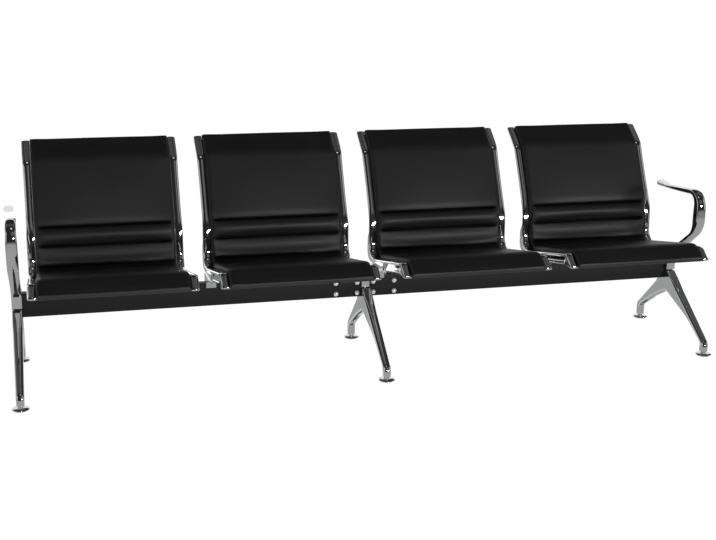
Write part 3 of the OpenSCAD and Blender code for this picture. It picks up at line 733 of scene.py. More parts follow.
# Rows along a pad and columns across it, and the share of them that lies close to its borders
PAD_ROWS, PAD_COLUMNS, BORDER_SHARE = 150, 84, 0.22
# Distance over which points are gathered at a groove, and length over which the pad's normals turn
GATHER, NORMAL_REACH = 0.010, 0.012
# Length over which the crown changes, how far past the crest it ends, and where the bulged panel starts
CROWN_RUN, CREST_PAST, PANEL_START = 0.10, 0.04, 0.04
# Powers of the superellipses of crown, roll and border
CROWN_POWER, ROLL_POWER, BORDER_POWER = 2.4, 2.1, 2.3


def eased(count, full, edge):
    """Distances 0 to full that are close together near both ends."""
    n = int(count * BORDER_SHARE / 2)
    start = edge * (1 - np.cos(np.linspace(0, math.pi / 2, n)))
    middle = np.linspace(edge, full - edge, count - 2 * n + 2)[1:-1]
    return np.concatenate([start, middle, (full - start)[::-1]])


def gathered(points, centres):
    """The sorted points with extra ones close to each centre: centre + reach * sign(t) t^2."""
    t = np.linspace(-1, 1, 15)
    near = (np.asarray(centres)[:, None] + GATHER * np.sign(t) * t**2).ravel()
    away = np.min(np.abs(points[:, None] - np.asarray(centres)[None]), 1) > GATHER * 1.15
    return np.sort(np.concatenate([points[away], near]))


def pad_places():
    """The face line, with the distances along it of the pad's ends, its grooves, and the seat's corner
    and crest."""
    pad = pad_sizes()
    corners = seat_corners()
    face = face_line()
    full = run_length(face)[-1]
    dense = np.linspace(0, full, FINE)
    z = at(face, dense)[:, 1]
    low = int(np.argmin(z))
    grooves = [np.interp(-h, -z[:low], dense[:low]) for h in (pad.groove_1, pad.groove_2, pad.groove_3)]
    seat = [nearest(face, np.array(corners[k][:2])) for k in (3, 4)]
    return face, (pad.top_gap, full + pad.lap), grooves, seat


def pad_height(s, x, half_w, ends, grooves, seat):
    """Height of the cover above the rails' face at distance s and place x across, and the distance from
    the border that rounds it off.

    A flat rise, a crown across the width and a bulge 4 t (1 - t) of the upper panel. Between two sewn
    grooves lies a roll 1 - |2t - 1|^2.1 that reaches from the grooves' bottom to the puff; the panels
    above and below end in a quarter circle. The grooves fade towards the sides, and a superellipse
    brings the border down to the shell.
    """
    pad = pad_sizes()
    first, last = ends
    across = 1 - np.abs(x / half_w) ** CROWN_POWER
    on_seat = ramp(s, seat[0], CROWN_RUN) * np.clip((seat[1] + CREST_PAST - s) / CROWN_RUN, 0, 1)
    height = pad.rise + across * (pad.back_crown + (pad.seat_crown - pad.back_crown) * on_seat)
    panel = np.clip((s - first - PANEL_START) / (grooves[0] - first - PANEL_START), 0, 1)
    height = height + across * pad.panel_bulge * 4 * panel * (1 - panel)
    shape = np.ones_like(s)
    puff = np.zeros_like(s)
    for a, b in zip(grooves[:-1], grooves[1:]):
        t = np.clip((s - a) / (b - a), 0, 1)
        inside = (s > a) & (s < b)
        shape = np.where(inside, 1 - np.abs(2 * t - 1) ** ROLL_POWER, shape)
        puff = np.where(inside, pad.puff, puff)
    for edge, sign, reach in ((grooves[0], -1, pad.lip_w), (grooves[-1], 1, pad.groove_w)):
        d = np.clip(sign * (s - edge) / reach, 0, 1)
        shape = np.where(sign * (s - edge) >= 0, np.sqrt(1 - (1 - d) ** 2), shape)
    fade = np.clip((half_w - np.abs(x) - 0.006) / 0.028, 0, 1)
    fade = fade * fade * (3 - 2 * fade)
    depth = pad.groove_depth * (0.25 + 0.75 * fade)
    height = height - depth + (depth + puff * fade) * shape
    side = (half_w - np.abs(x)) * (1 + 1.5 * np.clip(1 - (s - first) / 0.05, 0, 1))
    inside = np.minimum(side, np.minimum((s - first) * 2.5, (last - s) * 0.55))
    u = 1 - np.clip(inside / pad.border_r, 0, 1)
    round_off = np.clip(1 - u**BORDER_POWER, 0, 1) ** (1 / BORDER_POWER)
    return -pad.set_back + (height + pad.set_back) * round_off, inside


def pad_surface(half_w):
    """Points of a pad about x = 0, its quads, which points the sewing and the shell hold, and how far
    each lies in the hollow of a groove, exp(-(d / 7 mm)^2) with the distance d from its lower side.

    Top and underside are one grid each over distance s and width x, and share their border.
    """
    pad = pad_sizes()
    face, ends, grooves, seat = pad_places()
    s = gathered(ends[0] + eased(PAD_ROWS, ends[1] - ends[0], pad.border_r), grooves)
    x = -half_w + eased(PAD_COLUMNS, 2 * half_w, pad.border_r)
    ss, xx = np.meshgrid(s, x, indexing="ij")
    h, inside = pad_height(ss, xx, half_w, ends, grooves, seat)
    base, normal = at(face, ss), front_normal(face, ss, NORMAL_REACH)
    top = np.concatenate([xx[..., None], base + h[..., None] * normal], 2)
    under = np.concatenate([xx[..., None], base - pad.set_back * normal], 2)
    index = np.arange(ss.size).reshape(ss.shape)
    core = np.zeros(ss.shape, bool)
    core[1:-1, 1:-1] = True
    lower = index.copy()
    lower[core] = ss.size + np.arange(core.sum())
    vertices = np.concatenate([top.reshape(-1, 3), under[core]])
    quads = grid_faces(*ss.shape)
    quads = np.concatenate([quads, lower.ravel()[quads[:, [0, 3, 2, 1]]]])
    sewn = np.min([np.abs(ss - g) for g in grooves], axis=0) < 0.0035
    held = np.concatenate([(sewn | (inside < 0.004)).ravel(), np.ones(core.sum(), bool)])
    # How far each point lies in a groove's hollow; the leather paints shade into the grooves by it
    near = np.max([np.exp(-(((ss - g - 0.002) / 0.007) ** 2)) for g in grooves], axis=0)
    hollow = near * ramp(inside, 0.008, 0.010)
    return vertices, quads, held, np.concatenate([hollow.ravel(), np.zeros(core.sum())])


def inflate(vertices, quads, held, cap):
    """Swells a pad with Blender's cloth, held at its sewing and underside; returns the moved points.

    Each point's movement d is limited to cap * d / (cap + |d|).
    """
    mesh = bpy.data.meshes.new("swelling")
    mesh.from_pydata(vertices.tolist(), [], quads.tolist())
    obj = link("swelling", mesh)
    group = obj.vertex_groups.new(name="held")
    group.add(np.flatnonzero(held).tolist(), 1.0, "REPLACE")
    cloth = obj.modifiers.new("Cloth", "CLOTH").settings
    cloth.vertex_group_mass = "held"
    cloth.use_pressure = True
    cloth.uniform_pressure_force = 4
    cloth.effector_weights.gravity = 0
    cloth.tension_stiffness = 20
    cloth.compression_stiffness = 12
    cloth.bending_stiffness = 4
    for number in range(1, 21):
        bpy.context.scene.frame_set(number)
    shaped = obj.evaluated_get(bpy.context.evaluated_depsgraph_get()).to_mesh()
    points = np.empty(len(vertices) * 3)
    shaped.vertices.foreach_get("co", points)
    bpy.data.objects.remove(obj)
    bpy.context.scene.frame_set(1)
    move = points.reshape(-1, 3) - vertices
    return vertices + move * cap / (cap + np.linalg.norm(move, axis=1, keepdims=True))


def stitch_mesh(half_w):
    """Stitches along the grooves: short capsules 6 mm apart, each a lathed oval laid along X."""
    face, ends, grooves, seat = pad_places()
    pitch, stitch, thick = 0.006, 0.0042, 0.0008
    t = np.linspace(-math.pi / 2, math.pi / 2, 6)
    oval, quads = lathe(np.stack([np.maximum(thick / 2 * np.cos(t), 1e-5), stitch / 2 * np.sin(t)], 1), 8)
    x = np.arange(-half_w + 0.012, half_w - 0.010, pitch)
    s, x = (v.ravel() for v in np.meshgrid(grooves, x, indexing="ij"))
    h, _ = pad_height(s, x, half_w, ends, grooves, seat)
    place = at(face, s) + (h + thick / 4)[:, None] * front_normal(face, s, NORMAL_REACH)
    return copies(oval[:, [2, 0, 1]], quads, np.column_stack([x, place]))


# ---- seat shells ----

# Gap between a shell and each rail, and distance of its ends from the face line's
SHELL_GAP, SHELL_END = 0.0003, 0.010
# Distance of the holes and their radius, sheet, and the least that two opposite plain borders take up
HOLE_PITCH, HOLE_R, SHEET, PLAIN = 0.014, 0.0034, 0.0015, 0.03
# Length over which a shell's normals turn, and how far below its face a folded edge starts
SHELL_REACH, FOLD_START = 0.004, 0.0016


def shell_pattern(half_w, first, last):
    """Perforated sheet laid flat, as points (x, s) and faces.

    Rows of square cells, each second row shifted by half a cell; a cell is a ring of eight quads between
    its border and an eight-sided hole. Plain strips frame the cells.
    """
    rows = int((last - first - PLAIN) / HOLE_PITCH)
    columns = int((2 * half_w - PLAIN) / HOLE_PITCH) - 1
    s0 = (first + last - rows * HOLE_PITCH) / 2
    x0 = -(columns + 0.5) * HOLE_PITCH / 2
    turn = np.arange(8) * math.pi / 4 - 0.75 * math.pi
    square = np.array([[-1, -1], [0, -1], [1, -1], [1, 0], [1, 1], [0, 1], [-1, 1], [-1, 0]]) * HOLE_PITCH / 2
    cell = np.concatenate([square, HOLE_R * np.stack([np.cos(turn), np.sin(turn)], 1)])
    k = np.arange(8)
    cell_quads = np.stack([k, (k + 1) % 8, 8 + (k + 1) % 8, 8 + k], 1)
    r, c = (v.ravel() for v in np.meshgrid(np.arange(rows), np.arange(columns), indexing="ij"))
    centres = np.stack([x0 + (c + 0.5 + 0.5 * (r % 2)) * HOLE_PITCH, s0 + (r + 0.5) * HOLE_PITCH], 1)
    points = [(centres[:, None] + cell[None]).reshape(-1, 2)]
    faces = [(cell_quads[None] + 16 * np.arange(len(centres))[:, None, None]).reshape(-1, 4)]
    total = len(points[0])
    # Half cells fill the shifted rows' ends, and plain strips reach the sheet's edges
    row = np.arange(rows)
    s_low, s_mid, s_high = (s0 + (row + f) * HOLE_PITCH for f in (0, 0.5, 1))
    for sign in (-1, 1):
        near = x0 + (columns * (sign > 0) + 0.5 * (row % 2)) * HOLE_PITCH
        far = np.full(rows, sign * half_w)
        corners = ((near, s_low), (near, s_mid), (near, s_high), (far, s_high), (far, s_low))
        points.append(np.stack([np.stack(c, 1) for c in corners], 1).reshape(-1, 2))
        n = total + 5 * row[:, None]
        faces.append(np.concatenate([n + [0, 1, 4, 4], n + [1, 2, 3, 4]]))
        total += 5 * rows
    ladder = np.arange(x0, x0 + (columns + 0.75) * HOLE_PITCH, HOLE_PITCH / 2)
    ladder = np.array([-half_w, *ladder, half_w])
    for pair in ((first, s0), (s0 + rows * HOLE_PITCH, last)):
        points.append(np.concatenate([np.stack([ladder, np.full(len(ladder), v)], 1) for v in pair]))
        faces.append(grid_faces(2, len(ladder), start=total))
        total += 2 * len(ladder)
    return np.concatenate(points), np.concatenate(faces)


def build_shell(i):
    """Bends a perforated sheet along the face line of seat i and gives it its thickness and its folded
    long edges, which carry the screws."""
    name, node = f"perforated_shell_{i}", f"seat_shell_{i}"
    centre_x, half_w, _ = seat_span(i, SHELL_GAP)
    face = face_line()
    first, last = SHELL_END, run_length(face)[-1] - SHELL_END
    flat, faces = shell_pattern(half_w, first, last)
    depth = pad_sizes().set_back + 0.0001
    bent = at(face, flat[:, 1]) - depth * front_normal(face, flat[:, 1], SHELL_REACH)
    points = np.column_stack([flat[:, 0], bent])
    a, b, c = (points[faces[:, k]] for k in (0, 1, 2))
    faces_rear = np.cross(b - a, c - a)[:, 1].sum() > 0
    mesh = bpy.data.meshes.new(name)
    triangles_too = [f[:3] if f[2] == f[3] else f for f in faces.tolist()]
    mesh.from_pydata((points + [centre_x, 0, 0]).tolist(), [], triangles_too)
    obj = link(name, mesh)
    obj.modifiers.new("Weld", "WELD").merge_threshold = 0.00005
    thick = obj.modifiers.new("Solidify", "SOLIDIFY")
    thick.thickness = SHEET
    thick.offset = 1 if faces_rear else -1
    dress(obj, "shell_powder_coat", replaces=(node,))
    s = np.linspace(first, last, 150)
    base, normal = at(face, s), front_normal(face, s, SHELL_REACH)
    start, end = depth + FOLD_START, outline().rail_t
    end_faces = np.array([[3, 2, 1, 0], [0, 1, 2, 3]]) + [[0], [4 * (len(s) - 1)]]
    for side, sign in SIDES:
        outer = centre_x + sign * half_w
        inner = outer - sign * SHEET
        ring = [(outer, start), (outer, end), (inner, end), (inner, start)]
        loops = np.stack([np.column_stack([np.full(len(s), x), base - d * normal]) for x, d in ring], 1)
        quads = grid_faces(len(s), 4, wrap_columns=True)
        piece(f"{name}_fold_{side}", loops, quads, "shell_powder_coat", caps=end_faces.tolist(), smooth=40)


# ---- beam, legs and armrests ----

# Places of the feet from the beam's centre line, and height of the bend over a leg's lower end
FOOT_FRONT, FOOT_REAR, ANKLE = -0.308, 0.173, 0.024
# Bend radius of the legs' arms and of the armrests' top bar
SWEEP_R = 0.200
# Lower end of the armrests' and the clamp's arms beside the beam
SADDLE_LOW = BEAM_Z + 0.036
# Distance within which a side counts as lying on its neighbour
TOUCH = 1e-5


def closed_outline(corners, steps, longest):
    """Closed polyline of corners given from the beam's centre line, the middles of its sides, and which
    of them lie within the beam's depth."""
    points = split_long(fillet(corners, closed=True, steps=steps), longest) + [BEAM_Y, 0]
    middle = (points + np.roll(points, -1, axis=0)) / 2
    return points, middle, np.abs(middle[:, 0] - BEAM_Y) < HALF_D + TOUCH


def leg_shape():
    """Forked outline of a leg, and its sides that lie on the beam or the foot or at the top."""
    r = 0.013
    bend = LEG_LOW + ANKLE
    half, fork = HALF_D, BEAM_Z - 0.047
    points, middle, within = closed_outline([
        (-half, BEAM_Z, 0), (half, BEAM_Z, 0), (half, BEAM_Z + 0.034, 0),
        (half + 0.014, BEAM_Z + 0.034, 0.004), (half + 0.014, BEAM_Z - 0.014, 0.030),
        (FOOT_REAR + r, bend + 0.022, 0.035), (FOOT_REAR + r, LEG_LOW, 0), (FOOT_REAR - r, LEG_LOW, 0),
        (FOOT_REAR - r, bend + r, 0.020), (0.060, fork - 0.048, SWEEP_R), (-half - r, fork, 0.020),
        (-half - 0.170, fork - 0.060, SWEEP_R), (FOOT_FRONT + r, bend + 0.002, 0.025),
        (FOOT_FRONT + r, LEG_LOW, 0), (FOOT_FRONT - r, LEG_LOW, 0), (FOOT_FRONT - r, bend + 0.007, 0.035),
        (-half - 0.018, BEAM_Z + 0.033, 0.008), (-half, BEAM_Z + 0.034, 0),
    ], 11, 0.012)
    on_beam = within & (middle[:, 1] > BEAM_Z - TOUCH)
    level = np.abs(points[:, 1] - np.roll(points[:, 1], -1)) < 1e-6
    on_foot = middle[:, 1] < LEG_LOW + TOUCH
    return points, np.flatnonzero(on_beam | on_foot | (level & (middle[:, 1] > BEAM_Z)))


def saddle_shape(corners, steps, longest):
    """Closed outline of a piece that sits over the beam, and its sides that lie on the beam or end it."""
    points, middle, within = closed_outline(corners, steps, longest)
    on_beam = within & (middle[:, 1] < BEAM_TOP + TOUCH)
    return points, np.flatnonzero(on_beam | (middle[:, 1] < SADDLE_LOW + TOUCH))


def arm_shape():
    """Looped outline of an armrest."""
    half, z, t, loop = HALF_D, 0.561, 0.016, 0.034
    root, reach = BEAM_TOP + 0.018, -0.222
    return saddle_shape([
        (-half, SADDLE_LOW, 0), (-half, BEAM_TOP, 0), (half, BEAM_TOP, 0), (half, SADDLE_LOW, 0),
        (half + 0.014, SADDLE_LOW, 0), (half + 0.014, root, 0.010), (-half / 2, root, 0.020),
        (reach + loop, z - 0.129, 0.045), (reach + loop, z - 0.001, 0.030),
        (-half - 0.045, z - t + 0.006, 0.150), (0.038, z - t, SWEEP_R), (0.108, z - t - 0.002, 0.009),
        (0.108, z + 0.006, 0.007), (0.038, z, SWEEP_R), (reach, z + 0.0238, 0.062),
        (reach, z - 0.125, 0.085), (-half - 0.018, BEAM_TOP - 0.001, 0.020), (-half - 0.018, SADDLE_LOW, 0),
    ], 13, 0.010)


def clamp_shape():
    """Outline of the centre clamp."""
    half, t = HALF_D, 0.005
    return saddle_shape([
        (-half, SADDLE_LOW, 0), (-half, BEAM_TOP, 0), (half, BEAM_TOP, 0), (half, SADDLE_LOW, 0),
        (half + t, SADDLE_LOW, 0), (half + t, BEAM_TOP + t, 0.006), (-half - t, BEAM_TOP + t, 0.006),
        (-half - t, SADDLE_LOW, 0),
    ], 9, 0.012)


def chrome_slab(name, node, shape, half_w, edge_r, steps, crown=None, shift=0.0):
    """Adds the slab that stands for a chrome node."""
    low, high = box(node)
    points, flat = shape
    vertices, quads, caps = rounded_slab(
        points, (low[0] + high[0]) / 2 + shift, half_w, edge_r, flat, steps, crown)
    piece(name, vertices, quads, "chrome_plate", replaces=(node,), caps=caps)


def tube_ring(half, r, inset):
    """Rounded rectangle of 28 points about the origin, with its arcs drawn inwards by an inset."""
    signs = np.repeat([[1, 1], [-1, 1], [-1, -1], [1, -1]], 7, axis=0)
    turn = (np.arange(4)[:, None] * math.pi / 2 + np.linspace(0, math.pi / 2, 7)).ravel()
    return signs * (half - r) + (r - inset) * np.stack([np.cos(turn), np.sin(turn)], 1)


# ---- feet ----


def disc_profile(r, low, top, glide_r, glide_top):
    """Turned disc with a bored middle and a hollow for the glide: a rim bulged by half a sine, and above
    it a dome that rises with the square root of the distance from the rim."""
    bore, boss, bulge, rim_h = 0.00505, 0.010, 0.0022, 0.0055
    q = np.linspace(0, 1, 9)
    rim = np.stack([r - bulge + bulge * np.sin(math.pi * q), low + rim_h * q], 1)
    dome = np.stack([(r - bulge) * (1 - q) + boss * q, low + rim_h + (top - low - rim_h) * q**0.5], 1)
    hollow = [[bore, glide_top], [glide_r, glide_top], [glide_r, low]]
    return np.concatenate([hollow, rim, dome[1:], [[bore, top]]])


def glide_profile(r, top):
    """Glide: a plain disc with an eased lower edge."""
    return [[1e-4, 0], [r - 0.0012, 0], [r - 0.0003, 0.0004], [r, 0.0013], [r, top], [1e-4, top]]


def stud_mesh(low, high, collar_low, collar_high):
    """Threaded stud about Z: r = r0 - depth * |2 frac(z / pitch - t / 2 pi) - 1| above its collar."""
    pitch, depth, r0, collar_r, ease = 0.0015, 0.0008, 0.00495, 0.009, 0.0006
    z = np.concatenate([
        [low, low, collar_low, collar_low, collar_low + ease, collar_high - ease, collar_high],
        np.linspace(collar_high, high, 96), [high],
    ])
    t = np.linspace(0, 2 * math.pi, 24, endpoint=False)
    tt, zz = np.meshgrid(t, z, indexing="ij")
    r = r0 - depth * np.abs(2 * ((zz / pitch - tt / (2 * math.pi)) % 1) - 1)
    r[:, :8] = [1e-4, r0 - 0.0004, r0, collar_r - ease, collar_r, collar_r, collar_r - ease, r0]
    r[:, -1] = 1e-4
    vertices = np.stack([r * np.cos(tt), r * np.sin(tt), zz], 2)
    return vertices.reshape(-1, 3), grid_faces(len(t), len(z), wrap_rows=True, wrap_columns=True)


# ---- copies of machined parts ----


def eased_edges(node, finish, width):
    """A merged copy of a CAD node with small bevels on its edges, which stands for the node."""
    source = frame["nodes"][node]
    mesh = source.data.copy()
    mesh.materials.clear()
    work = bmesh.new()
    work.from_mesh(mesh)
    bmesh.ops.remove_doubles(work, verts=work.verts, dist=1e-6)
    bmesh.ops.dissolve_limit(work, angle_limit=math.radians(1), verts=work.verts, edges=work.edges)
    work.to_mesh(mesh)
    work.free()
    mesh.shade_smooth()
    mesh.set_sharp_from_angle(angle=math.radians(35))
    obj = link(f"{node}_eased", mesh)
    bevel = obj.modifiers.new("Bevel", "BEVEL")
    bevel.width = width
    bevel.segments = 2
    bevel.limit_method = "ANGLE"
    bevel.angle_limit = math.radians(40)
    bevel.harden_normals = True
    dress(obj, finish, source["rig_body"], (node,))


# ---- operators ----


class BenchBeam(bpy.types.Operator):
    """Adds the two halves of the powder-coated beam, with their rounded long edges"""

    bl_idname = "bench.beam"
    bl_label = "Beam"

    def execute(self, context):
        r, wall, ease, plain = 0.005, 0.002, 0.0004, 0.05
        for side, _ in SIDES:
            low, high = box(f"beam_{side}")
            half, centre = (high - low)[1:] / 2, (low + high)[1:] / 2
            stations = [
                (low[0], wall), (low[0], ease), (low[0] + ease, 0),
                *((x, 0) for x in np.linspace(low[0] + plain, high[0] - plain, 12)),
                (high[0] - ease, 0), (high[0], ease), (high[0], wall),
            ]
            rings = [np.column_stack([np.full(28, x), tube_ring(half, r, i) + centre]) for x, i in stations]
            quads = grid_faces(len(rings), 28, wrap_rows=True, wrap_columns=True)
            piece(f"beam_tube_{side}", np.stack(rings), quads, "beam_powder_coat",
                  replaces=(f"beam_{side}",), smooth=40)
        return {"FINISHED"}


class BenchRails(bpy.types.Operator):
    """Adds the pressed chrome side rails of the seats"""

    bl_idname = "bench.rails"
    bl_label = "Side rails"

    def execute(self, context):
        for i in SEATS:
            width = np.ptp(box(f"seat_rail_left_{i}")[:, 0])
            for (side, sign), outer_x in zip(SIDES, seat_span(i)[2]):
                vertices, quads, caps = rail_mesh(outer_x, width, sign)
                piece(f"side_rail_{side}_{i}", vertices, quads, "chrome_plate",
                      replaces=(f"seat_rail_{side}_{i}",), caps=caps)
        return {"FINISHED"}


class BenchPads(bpy.types.Operator):
    """Adds the padded leather covers with their sewn grooves, swelled once and used for each seat"""

    bl_idname = "bench.pads"
    bl_label = "Padded covers"

    def execute(self, context):
        _, half_w, _ = seat_span(SEATS[0], PAD_GAP)
        vertices, quads, held, hollow = pad_surface(half_w)
        vertices = inflate(vertices, quads, held, pad_sizes().cap)
        stitches, stitch_quads = stitch_mesh(half_w)
        for i in SEATS:
            centre = np.array([seat_span(i)[0], 0, 0])
            pad = piece(f"padded_cover_{i}", vertices + centre, quads, "polyurethane_leather",
                        replaces=(f"seat_pad_{i}",), smooth=180)
            # The hollow attribute tells the leather where to paint shade into the grooves
            pad.data.attributes.new("hollow", "FLOAT", "POINT").data.foreach_set("value", hollow)
            piece(f"stitching_{i}", stitches + centre, stitch_quads, "polyester_thread", smooth=60)
        return {"FINISHED"}


class BenchShells(bpy.types.Operator):
    """Adds the perforated steel shells behind the pads"""

    bl_idname = "bench.shells"
    bl_label = "Seat shells"

    def execute(self, context):
        for i in SEATS:
            build_shell(i)
        return {"FINISHED"}


class BenchLegs(bpy.types.Operator):
    """Adds the forked chrome legs and the clamp over the beam at the centre leg"""

    bl_idname = "bench.legs"
    bl_label = "Legs"

    def execute(self, context):
        shape = leg_shape()
        z = shape[0][:, 1]
        # A leg is wider and flatter at the beam than at the foot
        foot_w, beam_w, foot_r, beam_r, head_r = 0.013, 0.0163, 0.0088, 0.0082, 0.004
        up = np.clip((z - LEG_LOW - ANKLE) / (BEAM_Z - LEG_LOW - ANKLE), 0, 1)
        head = np.clip((z - BEAM_Z + 0.02) / 0.03, 0, 1)
        half_w = foot_w + (beam_w - foot_w) * up
        edge_r = (foot_r + (beam_r - foot_r) * up) * (1 - head) + head_r * head
        crown = half_w - 0.002 - 0.006 * head
        for leg in LEGS:
            chrome_slab(f"forked_leg_{leg}", f"leg_{leg}", shape, half_w, edge_r, 11, crown)
        low, high = box("centre_clamp")
        chrome_slab("beam_clamp_centre", "centre_clamp", clamp_shape(), (high[0] - low[0]) / 2, 0.0015, 5)
        return {"FINISHED"}


class BenchArmrests(bpy.types.Operator):
    """Adds the looped chrome armrests, whose rear ends turn a little outwards"""

    bl_idname = "bench.armrests"
    bl_label = "Armrests"

    def execute(self, context):
        shape = arm_shape()
        y, z = shape[0][:, 0] - BEAM_Y, shape[0][:, 1]
        front = np.clip((-0.10 - y) / 0.08, 0, 1) * np.clip((0.55 - z) / 0.06, 0, 1)
        half_w = 0.0165 + 0.0015 * front
        head = np.clip((BEAM_TOP + 0.03 - z) / 0.03, 0, 1)
        edge_r = 0.0062 * (1 - head) + 0.0025 * head
        splay = np.where(z > 0.50, np.clip(y + 0.130, 0, 1) * math.tan(math.radians(2.5)), 0)
        for side, sign in SIDES:
            chrome_slab(f"looped_armrest_{side}", f"armrest_{side}", shape, half_w, edge_r, 13,
                        half_w - 0.001 - 0.009 * head, sign * splay)
        return {"FINISHED"}


class BenchFeet(bpy.types.Operator):
    """Adds the levelling feet: turned chrome discs, plastic glides and threaded studs"""

    bl_idname = "bench.feet"
    bl_label = "Levelling feet"

    def execute(self, context):
        for foot in FEET:
            disc, glide, stud = (box(f"foot_{part}_{foot}") for part in ("disc", "glide", "stud"))
            centre = np.array([*((disc[0] + disc[1]) / 2)[:2], 0])
            low, top, glide_top = disc[0, 2], disc[1, 2], glide[1, 2]
            r, glide_r = ((part[1, 0] - part[0, 0]) / 2 for part in (disc, glide))
            for name, part, mesh, finish, body, smooth in (
                ("turned_disc", "disc", lathe(disc_profile(r, low, top, glide_r, glide_top)), "chrome_plate",
                 f"foot_{foot}", 50),
                ("glide_pad", "glide", lathe(glide_profile(glide_r, glide_top)), "moulded_polypropylene",
                 f"glide_{foot}", 40),
                ("threaded_stud", "stud", stud_mesh(stud[0, 2], stud[1, 2], top, LEG_LOW), "zinc_plate",
                 f"foot_{foot}", 60),
            ):
                piece(f"{name}_{foot}", mesh[0] + centre, mesh[1], finish, body=body,
                      replaces=(f"foot_{part}_{foot}",), smooth=smooth)
        return {"FINISHED"}


class BenchFasteners(bpy.types.Operator):
    """Adds the domed splice bolts and eases the edges of the nuts, washers, caps and brackets"""

    bl_idname = "bench.fasteners"
    bl_label = "Fasteners and brackets"

    def execute(self, context):
        low, high = box("splice_bolts")
        r, shank, head_h, dome_h, rim_h, x_in = 0.0085, 0.004, 0.005, 0.0052, 0.0004, 0.029
        chamfer, thin = 0.0006, 1e-5
        x_out, head = high[0] - r, low[1] + head_h
        q = np.linspace(0, math.pi / 2, 9)
        dome = np.stack([r * np.sin(q), -dome_h * np.cos(q) ** 1.2 - rim_h], 1)
        dome[0, 0] = thin
        tail = high[1] - head
        tip = [[r, 0], [shank, 0], [shank, tail - chamfer], [shank - chamfer, tail], [thin, tail]]
        vertices, quads = lathe(np.concatenate([dome, tip]), 32)
        centres = [(x, head, z) for x in (-x_out, -x_in, x_in, x_out) for z in (low[2] + r, high[2] - r)]
        vertices, quads = copies(vertices[:, [0, 2, 1]], quads, centres)
        piece("domed_splice_bolts", vertices, quads, "zinc_plate", replaces=("splice_bolts",), smooth=40)
        for node, finish, width in (
            ("splice_nuts", "zinc_plate", 0.0006),
            ("splice_washers", "zinc_plate", 0.0003),
            ("bracket_bolts", "zinc_plate", 0.0005),
            ("beam_cap_left", "moulded_polypropylene", 0.0009),
            ("beam_cap_right", "moulded_polypropylene", 0.0009),
            *((f"seat_brackets_{i}", "chrome_plate", 0.0009) for i in SEATS),
        ):
            eased_edges(node, finish, width)
        for node in ("leg_bolts", "clamp_bolts", "leg_inserts", "beam_splice", "shell_screws"):
            frame["nodes"][node].data.materials.clear()
            frame["nodes"][node].data.materials.append(material("zinc_plate"))
        return {"FINISHED"}


class BenchStudio(bpy.types.Operator):
    """Adds the camera, the pale floor and the soft light"""

    bl_idname = "bench.studio"
    bl_label = "Studio"

    def execute(self, context):
        add_camera()
        add_floor()
        add_surroundings()
        add_lamp()
        return {"FINISHED"}


# ---- studio ----

IMAGE_W = 716
FOCAL_PX = 1199.2
CAMERA_AT = (-1.0634, -3.89684, 1.37856)
CAMERA_TURN = (-14.76, 14.71, 0.56)
FLOOR_HALF = 30
FLOOR_GLOW = 1.8
AMBIENT = 0.02

# Reflected surroundings: limits of azimuth (from the front towards +X) and elevation, the width of the
# soft edges, all in degrees, and brightness. Those behind count azimuth to both sides alike.
CARDS_AHEAD = {
    "left_bank": (-126, -46, -9, 34, 3.0, 0.42),
    "right_bank": (52, 95, -9, 34, 3.0, 0.36),
    "high_lamp": (0, 30, 61, 69, 1.5, 0.8),
    "soft_front": (6, 34, 23, 45, 4.0, 0.11),
    "eye_level_lamp": (11, 29, 6.6, 7.6, 0.6, 175.0),
    "ceiling": (-200, 200, 78, 95, 4.0, 0.04),
    "floor": (-200, 200, -95, -11, 3.0, 0.33),
}
CARDS_BEHIND = {
    "backdrop": (130, 200, -9, 36, 3.0, 0.80),
    "horizon": (130, 200, -9, 5, 1.5, 1.15),
    "high_banks": (80, 126, 34, 74, 4.0, 0.06),
    "rear_floor": (108, 200, -40, -17.5, 1.5, 0.60),
}


def add_camera():
    """Camera from its place, heading, downward tilt and roll in degrees."""
    yaw, pitch, roll = (math.radians(v) for v in CAMERA_TURN)
    ahead = np.array([-math.sin(yaw) * math.cos(pitch), math.cos(yaw) * math.cos(pitch), -math.sin(pitch)])
    level = np.array([math.cos(yaw), math.sin(yaw), 0])
    above = np.cross(level, ahead)
    right = math.cos(roll) * level + math.sin(roll) * above
    up = -math.sin(roll) * level + math.cos(roll) * above
    data = bpy.data.cameras.new("view")
    data.sensor_fit = "HORIZONTAL"
    data.sensor_width = 36
    data.lens = FOCAL_PX * data.sensor_width / IMAGE_W
    data.clip_end = 100
    camera = link("view", data)
    camera.matrix_world = placed(CAMERA_AT, right, up, -ahead)
    bpy.context.scene.camera = camera


def placed(origin, *axes):
    """Matrix that puts an object's origin and axes in place."""
    return Matrix.Translation(origin) @ Matrix(np.column_stack(axes).tolist()).to_4x4()


def mix_seen(tree, unseen):
    """A strength that is 1 to the camera and another value to all other rays."""
    seen = add(tree, "ShaderNodeLightPath").outputs["Is Camera Ray"]
    # Inputs 2 and 3 of the Mix node are A and B of its float kind
    return add(tree, "ShaderNodeMix", {0: seen, 2: unseen, 3: 1.0}, data_type="FLOAT").outputs[0]


def add_floor():
    """A large white floor that glows, so that shadows on it stay faint."""
    mesh = bpy.data.meshes.new("studio_floor")
    s = FLOOR_HALF
    mesh.from_pydata([(-s, -s, 0), (s, -s, 0), (s, s, 0), (-s, s, 0)], [], [(0, 1, 2, 3)])
    made, tree, place, shader = new_material("painted_studio_floor")
    cloud = add(tree, "ShaderNodeTexNoise", {"Vector": place, "Scale": 1.5, "Detail": 3.0}).outputs["Fac"]
    fill(tree, shader, {
        "Base Color": (0.12, 0.12, 0.12, 1),
        "Roughness": spread(tree, cloud, 0.85, 0.95),
        "Emission Color": linear(bpy.context.scene.bench_colours.floor),
        "Emission Strength": mix_seen(tree, FLOOR_GLOW),
        "Specular IOR Level": 0.0,
    })
    mesh.materials.append(made)
    floor = link("studio_floor", mesh)
    floor.visible_glossy = False


